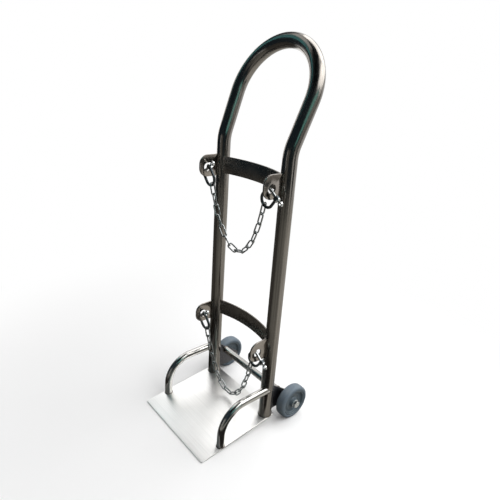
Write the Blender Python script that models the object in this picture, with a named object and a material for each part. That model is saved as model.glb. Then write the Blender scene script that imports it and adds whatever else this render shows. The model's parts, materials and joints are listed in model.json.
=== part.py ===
"""Hand cart for one gas cylinder.

A single bent tube makes the two uprights and the looped handle. The uprights stand on a sloping
foot plate, two tube guards keep the cylinder on the plate, two curved bands back it, and two
chains, shackled to lugs on the uprights, hold it. Two rubber wheels turn on bolts behind the uprights.

Axes: +X to the right seen from the front, +Y to the rear, +Z up. The origin is on the floor,
in the middle of the cart's footprint. Lengths are in metres.
"""

from math import acos, asin, atan, atan2, ceil, cos, hypot, pi, radians, sin, sqrt, tan

import bmesh
import bpy
from mathutils import Matrix, Vector

# Clearances
FIT = 0.0003               # between two pieces that touch, are welded or turn on each other
COPE_GAP = 0.0007          # between an upright and the end of a guard cut to its round
LINK_SEAT = 0.0004         # between two chain links, or an end link and the bow that carries it
SHACKLE_PLAY = 0.0010      # between a shackle's leg and the edge of the lug that it straddles

# Frame tube: uprights and handle
TUBE_DIAMETER = 0.038
TUBE_WALL = 0.0015
UPRIGHT_SPACING = 0.2548   # between the uprights' axes
HANDLE_BEND_HEIGHT = 0.781
HANDLE_BEND_RADIUS = 0.100
HANDLE_LEAN = radians(21.6)
HANDLE_SPLAY = radians(3.2)
HANDLE_LEG = 0.101         # straight run between the bend and the loop

# Foot plate
PLATE_FRONT = 0.2406       # from the uprights' axes forward to the plate's lower front edge
PLATE_OVERHANG = 0.0008    # past the uprights at the rear
PLATE_MARGIN = 0.0009      # past the uprights at each side
PLATE_THICKNESS = 0.004
PLATE_SLOPE = radians(5.7)
PLATE_CORNER = 0.006

# Side guards
GUARD_DIAMETER = 0.022
GUARD_WALL = 0.0015
GUARD_FRONT = 0.170        # from the uprights' axes forward to the guard's upright leg
GUARD_HEIGHT = 0.1224
GUARD_BEND_RADIUS = 0.076

# Curved bands between the uprights
BAND_HEIGHT = 0.039
BAND_THICKNESS = 0.004
BAND_RISE = 0.0186         # how far the middle of the arc lies behind its ends
UPPER_BAND_FORWARD = 0.008  # how far the arc's ends would lie in front of the uprights' axes
LOWER_BAND_FORWARD = -0.003
UPPER_BAND_LEVEL = 0.724
LOWER_BAND_LEVEL = 0.2765

# Chain lugs
LUG_LENGTH = 0.0587
LUG_HEIGHT = 0.060
LUG_THICKNESS = 0.005
LUG_CORNER = 0.025
LUG_HOLE_DIAMETER = 0.023
LUG_HOLE_EDGE = 0.0255     # from the hole's centre to the lug's front edge
LUG_HOLE_DROP = 0.0335     # from the lug's top edge to the hole's centre
UPPER_LUG_LEVEL = 0.7185   # height of the hole's centre
LOWER_LUG_LEVEL = 0.2625

# Wheels and their brackets
WHEEL_DIAMETER = 0.105
WHEEL_WIDTH = 0.0306
WHEEL_CLEARANCE = 0.0095   # between the tread and the uprights
TYRE_THICKNESS = 0.0115
TYRE_SHOULDER = 0.008
RIM_THICKNESS = 0.0045
RIM_RECESS = 0.0015        # rim face behind the tyre's side
WEB_THICKNESS = 0.012
BOSS_DIAMETER = 0.026
BOSS_PROUD = 0.0007        # boss face in front of the tyre's side
AXLE_DIAMETER = 0.012
AXLE_HEX = 0.020
AXLE_HEAD_HEIGHT = 0.009
AXLE_NUT_HEIGHT = 0.010
AXLE_THREAD_PROUD = 0.003
SPACER_LENGTH = 0.0086
SPACER_DIAMETER = 0.020
BRACKET_THICKNESS = 0.005
BRACKET_HEIGHT = 0.088     # along the upright
BRACKET_GAP = 0.004        # above the foot plate
BRACKET_NOSE = 0.019       # radius round the axle

# Cross tube between the wheel brackets
CROSS_DIAMETER = 0.022
CROSS_WALL = 0.0015
CROSS_BACK = 0.0446
CROSS_LEVEL = 0.0905

# Shackles
BOW_DIAMETER = 0.0075
BOW_WIDTH = 0.030          # inside, between the legs
BOW_LENGTH = 0.0430        # from the pin's axis to the inside of the bow
BOW_EYE_DIAMETER = 0.0150
BOW_EYE_THICKNESS = 0.008
PIN_DIAMETER = 0.008
PIN_TIP_PROUD = 0.003
PIN_COLLAR_DIAMETER = 0.0145
PIN_COLLAR_LENGTH = 0.0025
PIN_NECK_LENGTH = 0.003
PIN_EYE_DIAMETER = 0.0135
PIN_EYE_HOLE = 0.0055
PIN_EYE_THICKNESS = 0.005
SHACKLE_TILT = radians(37)  # the chain draws each shackle inward

# Chains
UPPER_LINKS = 14
LOWER_LINKS = 15           # fewer, where that many would drag on the foot plate
CHAIN_CLEARANCE = 0.005    # between the lower chain and the foot plate
CHAIN_SWING = radians(3)   # both chains hang a little to the rear of the uprights' direction
LINK_WIRE = 0.004
LINK_LENGTH = 0.030        # inside, end to end
LINK_WIDTH = 0.0084        # inside, side to side

# Facets
TUBE_SIDES = 18
SMALL_TUBE_SIDES = 12
WHEEL_SIDES = 28
BOLT_SIDES = 12
ROD_SIDES = 10
WIRE_SIDES = 8
LINK_END_STEPS = 6
EYE_STEPS = 16
BOW_STEPS = 12
BEND_STEPS = 5
LOOP_STEPS = 18
GUARD_BEND_STEPS = 7
BAND_STEPS = 14
CORNER_STEPS = 6
HOLE_SIDES = 20

# Places that follow from the sizes above, from the uprights' axes
TUBE_RADIUS = TUBE_DIAMETER / 2
WHEEL_RADIUS = WHEEL_DIAMETER / 2
SIDE = UPRIGHT_SPACING / 2
PLATE_REAR = TUBE_RADIUS + PLATE_OVERHANG
PLATE_WIDTH = UPRIGHT_SPACING + TUBE_DIAMETER + 2 * PLATE_MARGIN
AXLE_BACK = TUBE_RADIUS + WHEEL_CLEARANCE + WHEEL_RADIUS
AXLE_LEVEL = WHEEL_RADIUS
LUG_HOLE_FRONT = TUBE_RADIUS + FIT + LUG_LENGTH - LUG_HOLE_EDGE
FOOTPRINT_FRONT = PLATE_FRONT + PLATE_THICKNESS * sin(PLATE_SLOPE)
UPRIGHT_PLACE = (FOOTPRINT_FRONT - AXLE_BACK - WHEEL_RADIUS) / 2


def plate_top(y):
    """Height of the foot plate's upper face at a distance y behind the uprights' axes."""
    return (y + PLATE_FRONT) * tan(PLATE_SLOPE) + PLATE_THICKNESS / cos(PLATE_SLOPE)


def clear_scene():
    for item in list(bpy.data.objects):
        bpy.data.objects.remove(item, do_unlink=True)


def make_material(name, colour, roughness, metallic):
    """A Principled material; the colour is linear red, green and blue."""
    material = bpy.data.materials.new(name)
    material.use_nodes = True
    shader = material.node_tree.nodes["Principled BSDF"]
    shader.inputs["Base Color"].default_value = (*colour, 1.0)
    shader.inputs["Roughness"].default_value = roughness
    shader.inputs["Metallic"].default_value = metallic
    return material


def make_empty(name, place, parent=None):
    empty = bpy.data.objects.new(name, None)
    empty.location = place
    empty.empty_display_size = 0.05
    empty.parent = parent
    bpy.context.collection.objects.link(empty)
    return empty


def make_object(name, mesh, material, parent, place=None):
    """Add a mesh as a named object; place is its transform under its parent."""
    if not mesh.materials:
        mesh.materials.append(material)
    item = bpy.data.objects.new(name, mesh)
    item.parent = parent
    if place is not None:
        item.matrix_basis = place
    bpy.context.collection.objects.link(item)
    return item


def finish_mesh(shape, name):
    """Turn a bmesh into a mesh whose faces point out and whose round faces shade smooth."""
    bmesh.ops.recalc_face_normals(shape, faces=shape.faces)
    mesh = bpy.data.meshes.new(name)
    shape.to_mesh(mesh)
    shape.free()
    mesh.shade_smooth()
    mesh.set_sharp_from_angle(angle=radians(40))
    return mesh


def bridge(shape, first, second):
    """Join two rings of the same number of vertices with a band of faces."""
    count = len(first)
    for i in range(count):
        j = (i + 1) % count
        shape.faces.new((first[i], first[j], second[j], second[i]))


def loft(name, rings, closed=False):
    """Skin a row of rings: capped at both ends, or joined end to end when closed."""
    shape = bmesh.new()
    rows = [[shape.verts.new(point) for point in ring] for ring in rings]
    for first, second in zip(rows, rows[1:]):
        bridge(shape, first, second)
    if closed:
        bridge(shape, rows[-1], rows[0])
    else:
        shape.faces.new(rows[0])
        shape.faces.new(rows[-1])
    return finish_mesh(shape, name)


def circle(centre, first, second, radius, sides):
    """Points round a centre in the plane of two unit directions."""
    points = []
    for i in range(sides):
        angle = 2 * pi * i / sides
        points.append(centre + radius * (cos(angle) * first + sin(angle) * second))
    return points


def path_rings(path, radius, sides, reference):
    """Circles square to a path, turning with it as little as possible."""
    rings = []
    normal = reference.copy()
    for i, point in enumerate(path):
        before = path[max(i - 1, 0)]
        after = path[min(i + 1, len(path) - 1)]
        along = (after - before).normalized()
        normal = (normal - normal.dot(along) * along).normalized()
        rings.append(circle(point, normal, along.cross(normal), radius, sides))
    return rings


def hollow_tube(name, path, diameter, wall, sides, reference, seat_start, seat_end):
    """A tube along a path, with open ends; each end's rim is laid on the face that it meets."""
    outer = path_rings(path, diameter / 2, sides, reference)
    inner = path_rings(path, diameter / 2 - wall, sides, reference)
    for rings in (outer, inner):
        rings[0] = [seat_start(point) for point in rings[0]]
        rings[-1] = [seat_end(point) for point in rings[-1]]
    return loft(name, outer + inner[::-1], closed=True)


def turned(name, profile, sides):
    """Turn a closed profile of (x, radius) points about the X axis."""
    rings = []
    for x, radius in profile:
        rings.append(circle(Vector((x, 0, 0)), Vector((0, 1, 0)), Vector((0, 0, 1)), radius, sides))
    return loft(name, rings, closed=True)


def pierced_plate(name, outline, hole_radius, thickness):
    """A flat plate square to X, round a hole at its origin; the outline is a row of (y, z) points."""
    shape = bmesh.new()
    edges = []
    for loop in (outline, arc_points((0, 0), hole_radius, 0, 2 * pi, HOLE_SIDES)[:-1]):
        corners = [shape.verts.new((-thickness / 2, y, z)) for y, z in loop]
        for first, second in zip(corners, corners[1:] + corners[:1]):
            edges.append(shape.edges.new((first, second)))
    bmesh.ops.triangle_fill(shape, edges=edges, use_beauty=True, normal=(1, 0, 0))
    grown = bmesh.ops.extrude_face_region(shape, geom=shape.faces[:], use_keep_orig=True)
    moved = [item for item in grown["geom"] if isinstance(item, bmesh.types.BMVert)]
    bmesh.ops.translate(shape, verts=moved, vec=(thickness, 0, 0))
    return finish_mesh(shape, name)


def arc_points(centre, radius, start, end, steps):
    """(y, z) points on an arc, both ends included; angles are from +Y towards +Z."""
    points = []
    for i in range(steps + 1):
        angle = start + (end - start) * i / steps
        points.append((centre[0] + radius * cos(angle), centre[1] + radius * sin(angle)))
    return points


def onto_plate(point):
    """Drop a point of an upright tube's end onto the foot plate."""
    return Vector((point.x, point.y, plate_top(point.y) + FIT))


def onto_upright(point):
    """Slide a point of a guard's arm along Y to the front of the upright on its side."""
    across = abs(point.x) - SIDE
    return Vector((point.x, -sqrt((TUBE_RADIUS + COPE_GAP) ** 2 - across ** 2), point.z))


def frame_path():
    """The frame tube's axis, from the left foot up, round the handle and down to the right foot."""
    up = Vector((0, 0, 1))
    rise = Vector((0, sin(HANDLE_LEAN), cos(HANDLE_LEAN)))
    leg = cos(HANDLE_SPLAY) * rise - Vector((sin(HANDLE_SPLAY), 0, 0))
    turn = acos(up.dot(leg))
    inward = (leg - leg.dot(up) * up).normalized()
    foot = Vector((-SIDE, 0, plate_top(0)))
    bend = Vector((-SIDE, 0, HANDLE_BEND_HEIGHT))
    half = [foot]
    for i in range(BEND_STEPS + 1):
        angle = turn * i / BEND_STEPS
        half.append(bend + HANDLE_BEND_RADIUS * (sin(angle) * up + (1 - cos(angle)) * inward))
    half.append(half[-1] + HANDLE_LEG * leg)
    loop_radius = -half[-1].x / cos(HANDLE_SPLAY)
    middle = Vector((0, half[-1].y, half[-1].z)) + loop_radius * sin(HANDLE_SPLAY) * rise
    steps = LOOP_STEPS // 2
    for i in range(1, steps + 1):
        angle = -HANDLE_SPLAY + (pi / 2 + HANDLE_SPLAY) * i / steps
        half.append(middle + loop_radius * (sin(angle) * rise - cos(angle) * Vector((1, 0, 0))))
    mirrored = [Vector((-point.x, point.y, point.z)) for point in half[-2::-1]]
    return half + mirrored


def guard_path(side):
    """A side guard's axis, from the foot plate up and back to the upright."""
    x = side * (SIDE + TUBE_RADIUS - GUARD_DIAMETER / 2)
    path = [Vector((x, -GUARD_FRONT, plate_top(-GUARD_FRONT)))]
    for i in range(GUARD_BEND_STEPS + 1):
        angle = (pi / 2) * i / GUARD_BEND_STEPS
        y = -GUARD_FRONT + GUARD_BEND_RADIUS * (1 - cos(angle))
        z = GUARD_HEIGHT - GUARD_BEND_RADIUS * (1 - sin(angle))
        path.append(Vector((x, y, z)))
    path.append(Vector((x, -TUBE_RADIUS, GUARD_HEIGHT)))
    return path


def rounded_rectangle(half_width, length, corner, z):
    """A level rectangle that runs back from the X axis, with rounded corners."""
    outline = []
    near = corner
    far = length - corner
    for side, middle_y, start in ((1, near, -pi / 2), (1, far, 0), (-1, far, pi / 2), (-1, near, pi)):
        middle = (side * (half_width - corner), middle_y)
        for x, y in arc_points(middle, corner, start, start + pi / 2, 4):
            outline.append(Vector((x, y, z)))
    return outline


def foot_plate_mesh():
    """A flat sheet with rounded corners, its origin at the lower front edge."""
    length = (PLATE_REAR + PLATE_FRONT) / cos(PLATE_SLOPE)
    half = PLATE_WIDTH / 2
    corner = min(PLATE_CORNER, length / 2, half)
    rings = [rounded_rectangle(half, length, corner, z) for z in (0, PLATE_THICKNESS)]
    return loft("foot_plate", rings)


def band_mesh(name, forward):
    """A flat bar bent to a shallow arc, its ends cut to the round inner sides of the uprights."""
    chord = SIDE - TUBE_RADIUS
    radius = (chord ** 2 + BAND_RISE ** 2) / (2 * BAND_RISE)
    centre_y = -forward + BAND_RISE - radius
    arcs = []
    for offset in (-BAND_THICKNESS / 2, BAND_THICKNESS / 2):
        reach = radius + offset
        low = 0.0
        high = asin(SIDE / reach)
        for _ in range(40):
            angle = (low + high) / 2
            gap = hypot(SIDE - reach * sin(angle), centre_y + reach * cos(angle)) - TUBE_RADIUS - FIT
            if gap > 0:
                low = angle
            else:
                high = angle
        row = []
        for i in range(BAND_STEPS + 1):
            angle = low * (2 * i / BAND_STEPS - 1)
            row.append((reach * sin(angle), centre_y + reach * cos(angle)))
        arcs.append(row)
    rings = []
    for inner, outer in zip(*arcs):
        ring = [Vector((*inner, -BAND_HEIGHT / 2)), Vector((*outer, -BAND_HEIGHT / 2))]
        ring += [Vector((*outer, BAND_HEIGHT / 2)), Vector((*inner, BAND_HEIGHT / 2))]
        rings.append(ring)
    return loft(name, rings)


def lug_mesh(name):
    """A tab with a rounded front and a hole for the shackle; its origin is the hole's centre."""
    front = -LUG_HOLE_EDGE
    back = LUG_LENGTH - LUG_HOLE_EDGE
    top = LUG_HOLE_DROP
    bottom = LUG_HOLE_DROP - LUG_HEIGHT
    corner = min(LUG_CORNER, LUG_HEIGHT / 2, LUG_LENGTH / 2)
    outline = arc_points((front + corner, top - corner), corner, pi / 2, pi, CORNER_STEPS)
    outline += arc_points((front + corner, bottom + corner), corner, pi, 3 * pi / 2, CORNER_STEPS)
    outline += [(back, bottom), (back, top)]
    return pierced_plate(name, outline, LUG_HOLE_DIAMETER / 2, LUG_THICKNESS)


def bracket_mesh(name):
    """A gusset that narrows from the upright to a round nose about the axle, its origin."""
    front = TUBE_RADIUS + FIT - AXLE_BACK
    bottom = plate_top(PLATE_REAR) + BRACKET_GAP - AXLE_LEVEL
    top = bottom + BRACKET_HEIGHT
    angles = []
    for z, way in ((top, -1), (bottom, 1)):
        distance = hypot(front, z)
        angles.append(atan2(z, front) + way * acos(BRACKET_NOSE / distance))
    start = angles[1] % (2 * pi) - 2 * pi
    end = angles[0]
    outline = arc_points((0, 0), BRACKET_NOSE, start, end, 12)
    outline += [(front, top), (front, bottom)]
    return pierced_plate(name, outline, AXLE_DIAMETER / 2 + FIT, BRACKET_THICKNESS)


def tyre_mesh(name):
    half = WHEEL_WIDTH / 2
    hub = WHEEL_RADIUS - TYRE_THICKNESS
    shoulder = min(TYRE_SHOULDER, half, TYRE_THICKNESS - FIT)
    inside = half - RIM_RECESS
    level = WHEEL_RADIUS - shoulder
    profile = [(-inside, hub + FIT)]
    profile += arc_points((shoulder - half, level), shoulder, pi, pi / 2, 4)
    profile += arc_points((half - shoulder, level), shoulder, pi / 2, 0, 4)
    profile += [(inside, hub + FIT)]
    return turned(name, profile, WHEEL_SIDES)


def hub_mesh(name):
    """A moulded wheel centre: rim, recessed web and boss, alike on both faces."""
    bore = AXLE_DIAMETER / 2 + FIT
    rim = WHEEL_RADIUS - TYRE_THICKNESS
    rim_half = WHEEL_WIDTH / 2 - RIM_RECESS
    web_half = WEB_THICKNESS / 2
    boss_half = WHEEL_WIDTH / 2 + BOSS_PROUD
    boss = BOSS_DIAMETER / 2
    face = [(boss_half, bore), (boss_half, boss), (web_half, boss)]
    face += [(web_half, rim - RIM_THICKNESS), (rim_half, rim - RIM_THICKNESS), (rim_half, rim)]
    mirrored = [(-x, radius) for x, radius in face[::-1]]
    return turned(name, face + mirrored, WHEEL_SIDES)


def hexagon(x, across, sides):
    """A hexagon square to X, with points between its corners to match a round of the same count."""
    points = []
    for i in range(sides):
        angle = 2 * pi * i / sides
        off_flat = (angle + pi / 6) % (pi / 3) - pi / 6
        radius = across / 2 / cos(off_flat)
        points.append(Vector((x, radius * cos(angle), radius * sin(angle))))
    return points


def round_at(x, radius, sides):
    return circle(Vector((x, 0, 0)), Vector((0, 1, 0)), Vector((0, 0, 1)), radius, sides)


def axle_stack():
    """Distances outward from the bracket's middle to the faces along the axle."""
    stack = {"bracket": BRACKET_THICKNESS / 2}
    stack["spacer"] = stack["bracket"] + FIT
    stack["hub"] = stack["spacer"] + SPACER_LENGTH + FIT
    stack["wheel"] = stack["hub"] + WHEEL_WIDTH / 2 + BOSS_PROUD
    stack["head"] = stack["wheel"] + WHEEL_WIDTH / 2 + BOSS_PROUD + FIT
    stack["nut"] = -BRACKET_THICKNESS / 2 - FIT
    stack["end"] = stack["nut"] - AXLE_NUT_HEIGHT - AXLE_THREAD_PROUD
    return stack


def axle_bolt_mesh(name, side):
    """A hexagon-headed bolt, its origin at the bracket's middle and its head outward."""
    stack = axle_stack()
    radius = AXLE_DIAMETER / 2
    head = stack["head"]
    chamfer = AXLE_HEAD_HEIGHT / 6
    rings = [round_at(head + AXLE_HEAD_HEIGHT, AXLE_HEX * 0.47, BOLT_SIDES)]
    rings.append(hexagon(head + AXLE_HEAD_HEIGHT - chamfer, AXLE_HEX, BOLT_SIDES))
    rings.append(hexagon(head, AXLE_HEX, BOLT_SIDES))
    rings.append(round_at(head, radius, BOLT_SIDES))
    rings.append(round_at(stack["end"] + radius / 4, radius, BOLT_SIDES))
    rings.append(round_at(stack["end"], radius * 0.75, BOLT_SIDES))
    turned_rings = [[Vector((side * p.x, p.y, p.z)) for p in ring] for ring in rings]
    return loft(name, turned_rings)


def axle_nut_mesh(name, side):
    """A hexagon nut on the bolt's inner end, against the bracket."""
    outer = axle_stack()["nut"]
    inner = outer - AXLE_NUT_HEIGHT
    bore = AXLE_DIAMETER / 2 + FIT
    rings = [hexagon(outer, AXLE_HEX, BOLT_SIDES), hexagon(inner, AXLE_HEX, BOLT_SIDES)]
    rings += [round_at(inner, bore, BOLT_SIDES), round_at(outer, bore, BOLT_SIDES)]
    turned_rings = [[Vector((side * p.x, p.y, p.z)) for p in ring] for ring in rings]
    return loft(name, turned_rings, closed=True)


def spacer_mesh(name):
    bore = AXLE_DIAMETER / 2 + FIT
    half = SPACER_LENGTH / 2
    outer = SPACER_DIAMETER / 2
    return turned(name, [(-half, bore), (-half, outer), (half, outer), (half, bore)], BOLT_SIDES)


def rod_ring(centre, axis, across, radius):
    """A rod's ring whose first half faces along axis and whose second half faces away from it."""
    points = []
    for i in range(ROD_SIDES):
        angle = 2 * pi * (i + 0.5) / ROD_SIDES - pi / 2
        points.append(centre + radius * (cos(angle) * axis + sin(angle) * across))
    return points


def add_eye(shape, centre, axis, across, toward_rod, diameter, hole, thickness):
    """Add a flat eye with a hole along axis; return the loop of vertices where the rod joins it."""
    rows = []
    for radius, half in ((diameter / 2, 1), (diameter / 2, -1), (hole / 2, -1), (hole / 2, 1)):
        row = []
        for i in range(EYE_STEPS):
            angle = 2 * pi * i / EYE_STEPS
            round_point = radius * (cos(angle) * toward_rod + sin(angle) * across)
            row.append(shape.verts.new(centre + round_point + half * thickness / 2 * axis))
        rows.append(row)
    bridge(shape, rows[1], rows[2])
    bridge(shape, rows[2], rows[3])
    bridge(shape, rows[3], rows[0])
    reach = ROD_SIDES // 4
    for i in range(reach, EYE_STEPS - reach):
        j = (i + 1) % EYE_STEPS
        shape.faces.new((rows[0][i], rows[0][j], rows[1][j], rows[1][i]))
    span = range(-reach, reach + 1)
    return [rows[0][i] for i in span] + [rows[1][i] for i in reversed(span)]


def bow_mesh(name):
    """A shackle's bow: an eye at each end of a U, the pin's axis along X and the U hanging down."""
    shape = bmesh.new()
    leg = BOW_WIDTH / 2 + BOW_EYE_THICKNESS / 2
    turn_radius = leg
    turn_level = -(BOW_LENGTH + BOW_DIAMETER / 2 - turn_radius)
    across = Vector((0, 1, 0))
    path = []
    for i in range(BOW_STEPS + 1):
        angle = pi * i / BOW_STEPS
        inward = Vector((cos(angle), 0, sin(angle)))
        centre = Vector((0, 0, turn_level)) - turn_radius * inward
        path.append((centre, inward))
    neck = -BOW_EYE_DIAMETER / 2 - BOW_DIAMETER / 3
    path.insert(0, (Vector((-leg, 0, neck)), Vector((1, 0, 0))))
    path.append((Vector((leg, 0, neck)), Vector((-1, 0, 0))))
    rows = []
    for centre, inward in path:
        rows.append([shape.verts.new(point) for point in rod_ring(centre, inward, across, BOW_DIAMETER / 2)])
    for first, second in zip(rows, rows[1:]):
        bridge(shape, first, second)
    hole = PIN_DIAMETER + 2 * FIT
    down = Vector((0, 0, -1))
    for side, row in ((-1, rows[0]), (1, rows[-1])):
        inward = Vector((-side, 0, 0))
        loop = add_eye(shape, Vector((side * leg, 0, 0)), inward, across, down,
                       BOW_EYE_DIAMETER, hole, BOW_EYE_THICKNESS)
        bridge(shape, loop, row)
    return finish_mesh(shape, name)


def pin_mesh(name):
    """A shackle's screw pin along X: a tip, a collar against the bow's eye and a flat eye to turn it."""
    shape = bmesh.new()
    outside = BOW_WIDTH / 2 + BOW_EYE_THICKNESS
    axis = Vector((0, 1, 0))
    across = Vector((0, 0, 1))
    collar = outside + FIT
    collar_end = collar + PIN_COLLAR_LENGTH
    radius = PIN_DIAMETER / 2
    steps = [(-outside - PIN_TIP_PROUD, radius * 0.8), (-outside - PIN_TIP_PROUD * 0.6, radius)]
    steps += [(collar, radius)]
    steps += [(collar, PIN_COLLAR_DIAMETER / 2), (collar_end, PIN_COLLAR_DIAMETER / 2)]
    neck_end = collar_end + PIN_NECK_LENGTH
    steps += [(collar_end, PIN_EYE_THICKNESS / 2), (neck_end, PIN_EYE_THICKNESS / 2)]
    rows = []
    for x, ring_radius in steps:
        ring = rod_ring(Vector((x, 0, 0)), axis, across, ring_radius)
        rows.append([shape.verts.new(point) for point in ring])
    for first, second in zip(rows, rows[1:]):
        bridge(shape, first, second)
    shape.faces.new(rows[0])
    eye = Vector((neck_end + PIN_EYE_DIAMETER / 2, 0, 0))
    loop = add_eye(shape, eye, axis, across, Vector((-1, 0, 0)),
                   PIN_EYE_DIAMETER, PIN_EYE_HOLE, PIN_EYE_THICKNESS)
    bridge(shape, rows[-1], loop)
    return finish_mesh(shape, name)


def link_mesh(name):
    """One welded chain link, long along X and wide along Y."""
    turn = (LINK_WIDTH + LINK_WIRE) / 2
    reach = LINK_LENGTH / 2 - LINK_WIDTH / 2
    rings = []
    for way in (1, -1):
        for i in range(LINK_END_STEPS + 1):
            angle = pi * i / LINK_END_STEPS - pi / 2
            outward = way * Vector((cos(angle), sin(angle), 0))
            centre = Vector((way * reach, 0, 0)) + turn * outward
            rings.append(circle(centre, outward, Vector((0, 0, 1)), LINK_WIRE / 2, WIRE_SIDES))
    return loft(name, rings, closed=True)


def shackle_place(side):
    """A shackle's transform about its pin, from the axis on which it swings in the lug's hole.

    It has slid down the tilted pin until its upper eye meets the lug, or farther where its lower leg
    would otherwise touch the lug's edge.
    """
    tilt = Matrix.Rotation(side * SHACKLE_TILT, 4, "Y")
    pin = tilt @ Vector((1, 0, 0))
    below = LUG_HEIGHT - LUG_HOLE_DROP - swing_drop()
    reach = max(below, LUG_HOLE_EDGE)
    edge = LUG_THICKNESS / 2 * cos(SHACKLE_TILT) + reach * sin(SHACKLE_TILT)
    face = LUG_THICKNESS / 2 / cos(SHACKLE_TILT) + BOW_EYE_DIAMETER / 2 * tan(SHACKLE_TILT)
    shift = max(edge + SHACKLE_PLAY - BOW_WIDTH / 2, BOW_WIDTH / 2 - face - SHACKLE_PLAY)
    centre = Vector((side * SIDE, 0, 0)) + side * shift * pin
    return Matrix.Translation(centre) @ tilt


def swing_drop():
    """How far the swing axis lies below the hole's centre when the tilted pin rests in the hole."""
    rest = PIN_DIAMETER / 2 / cos(SHACKLE_TILT) + LUG_THICKNESS / 2 * tan(SHACKLE_TILT)
    return LUG_HOLE_DIAMETER / 2 - FIT - rest


def link_overrun(bend):
    """How far a link's inner end lies past the point where it crosses the next link.

    The farther the two links bend there, the farther each rides up the other's round end.
    """
    turn = (LINK_WIDTH + LINK_WIRE) / 2
    slack = (LINK_WIDTH - LINK_WIRE) / 2 - LINK_SEAT
    spread = (turn ** 2 - slack ** 2) * 2 / (1 + cos(bend))
    return (turn - sqrt(max(0.0, turn ** 2 - spread)) - LINK_WIRE) / 2


def hanging_links(half_span, count):
    """The middle and the direction of each link, left to right, of a chain that hangs by its ends.

    The slopes grow in equal steps from the middle; the step is the one that fits the span.
    """
    low = 0.0
    high = 10.0
    for _ in range(60):
        step = (low + high) / 2
        slopes = [step * (i - (count - 1) / 2) for i in range(count)]
        bends = [atan(after) - atan(before) for before, after in zip(slopes, slopes[1:])]
        overruns = [LINK_SEAT] + [link_overrun(bend) for bend in bends] + [LINK_SEAT]
        lengths = [LINK_LENGTH - before - after for before, after in zip(overruns, overruns[1:])]
        span = sum(length / hypot(1, slope) for length, slope in zip(lengths, slopes))
        if span > 2 * half_span:
            low = step
        else:
            high = step
    links = []
    start = Vector((-half_span, 0, 0))
    for slope, length, overrun in zip(slopes, lengths, overruns):
        along = Vector((1, 0, slope)).normalized()
        links.append((start + (LINK_LENGTH / 2 - overrun) * along, along))
        start = start + length * along
    return links


def clear_count(wanted, half_span, height):
    """As many links as wanted, or fewer where the lowest would reach farther down than height."""
    count = wanted
    while count > 2:
        lowest = min(middle.z for middle, along in hanging_links(half_span, count))
        if -lowest + LINK_WIDTH / 2 + LINK_WIRE < height:
            break
        count -= 1
    return count


def add_chain(level_name, level, wanted, cart, bow, pin, link, materials):
    """A chain with its two shackles, all under an empty on the axis that it swings about."""
    axis_height = level - swing_drop()
    pivot = make_empty(level_name + "_chain_pivot", (0, -LUG_HOLE_FRONT, axis_height), cart)
    pivot.rotation_euler = (CHAIN_SWING, 0, 0)
    for side, word in ((-1, "left"), (1, "right")):
        place = shackle_place(side)
        make_object(f"{level_name}_shackle_bow_{word}", bow, materials["bow"], pivot, place)
        make_object(f"{level_name}_shackle_pin_{word}", pin, materials["pin"], pivot, place)
    hang = shackle_place(1) @ Vector((0, 0, LINK_SEAT - BOW_LENGTH))
    room = axis_height + hang.z - plate_top(-LUG_HOLE_FRONT) - CHAIN_CLEARANCE
    count = clear_count(wanted, hang.x, room)
    twist = pi * ceil((count - 1) / 2) / (count - 1)
    for i, (middle, along) in enumerate(hanging_links(hang.x, count)):
        wide = Matrix.Rotation(twist * i, 3, along) @ Vector((0, 1, 0))
        turn = Matrix((along, wide, along.cross(wide))).transposed().to_4x4()
        place = Matrix.Translation(middle + Vector((0, 0, hang.z))) @ turn
        make_object(f"{level_name}_chain_link_{i + 1:02d}", link, materials["link"], pivot, place)


def add_wheel(side, word, cart, materials):
    """A wheel under an empty on its axle, with the bolt, nut and spacer that carry it."""
    stack = axle_stack()
    axle = Vector((side * SIDE, AXLE_BACK, AXLE_LEVEL))
    bracket = bracket_mesh("wheel_bracket_" + word)
    make_object("wheel_bracket_" + word, bracket, materials["bracket"], cart, Matrix.Translation(axle))
    spacer_x = side * (stack["spacer"] + SPACER_LENGTH / 2)
    make_object("axle_spacer_" + word, spacer_mesh("axle_spacer"), materials["bolt"], cart,
                Matrix.Translation(axle + Vector((spacer_x, 0, 0))))
    make_object("axle_bolt_" + word, axle_bolt_mesh("axle_bolt", side), materials["bolt"], cart,
                Matrix.Translation(axle))
    make_object("axle_nut_" + word, axle_nut_mesh("axle_nut", side), materials["bolt"], cart,
                Matrix.Translation(axle))
    centre = make_empty("wheel_axis_" + word, axle + Vector((side * stack["wheel"], 0, 0)), cart)
    make_object("tyre_" + word, tyre_mesh("tyre"), materials["tyre"], centre)
    make_object("wheel_hub_" + word, hub_mesh("wheel_hub"), materials["hub"], centre)


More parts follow.
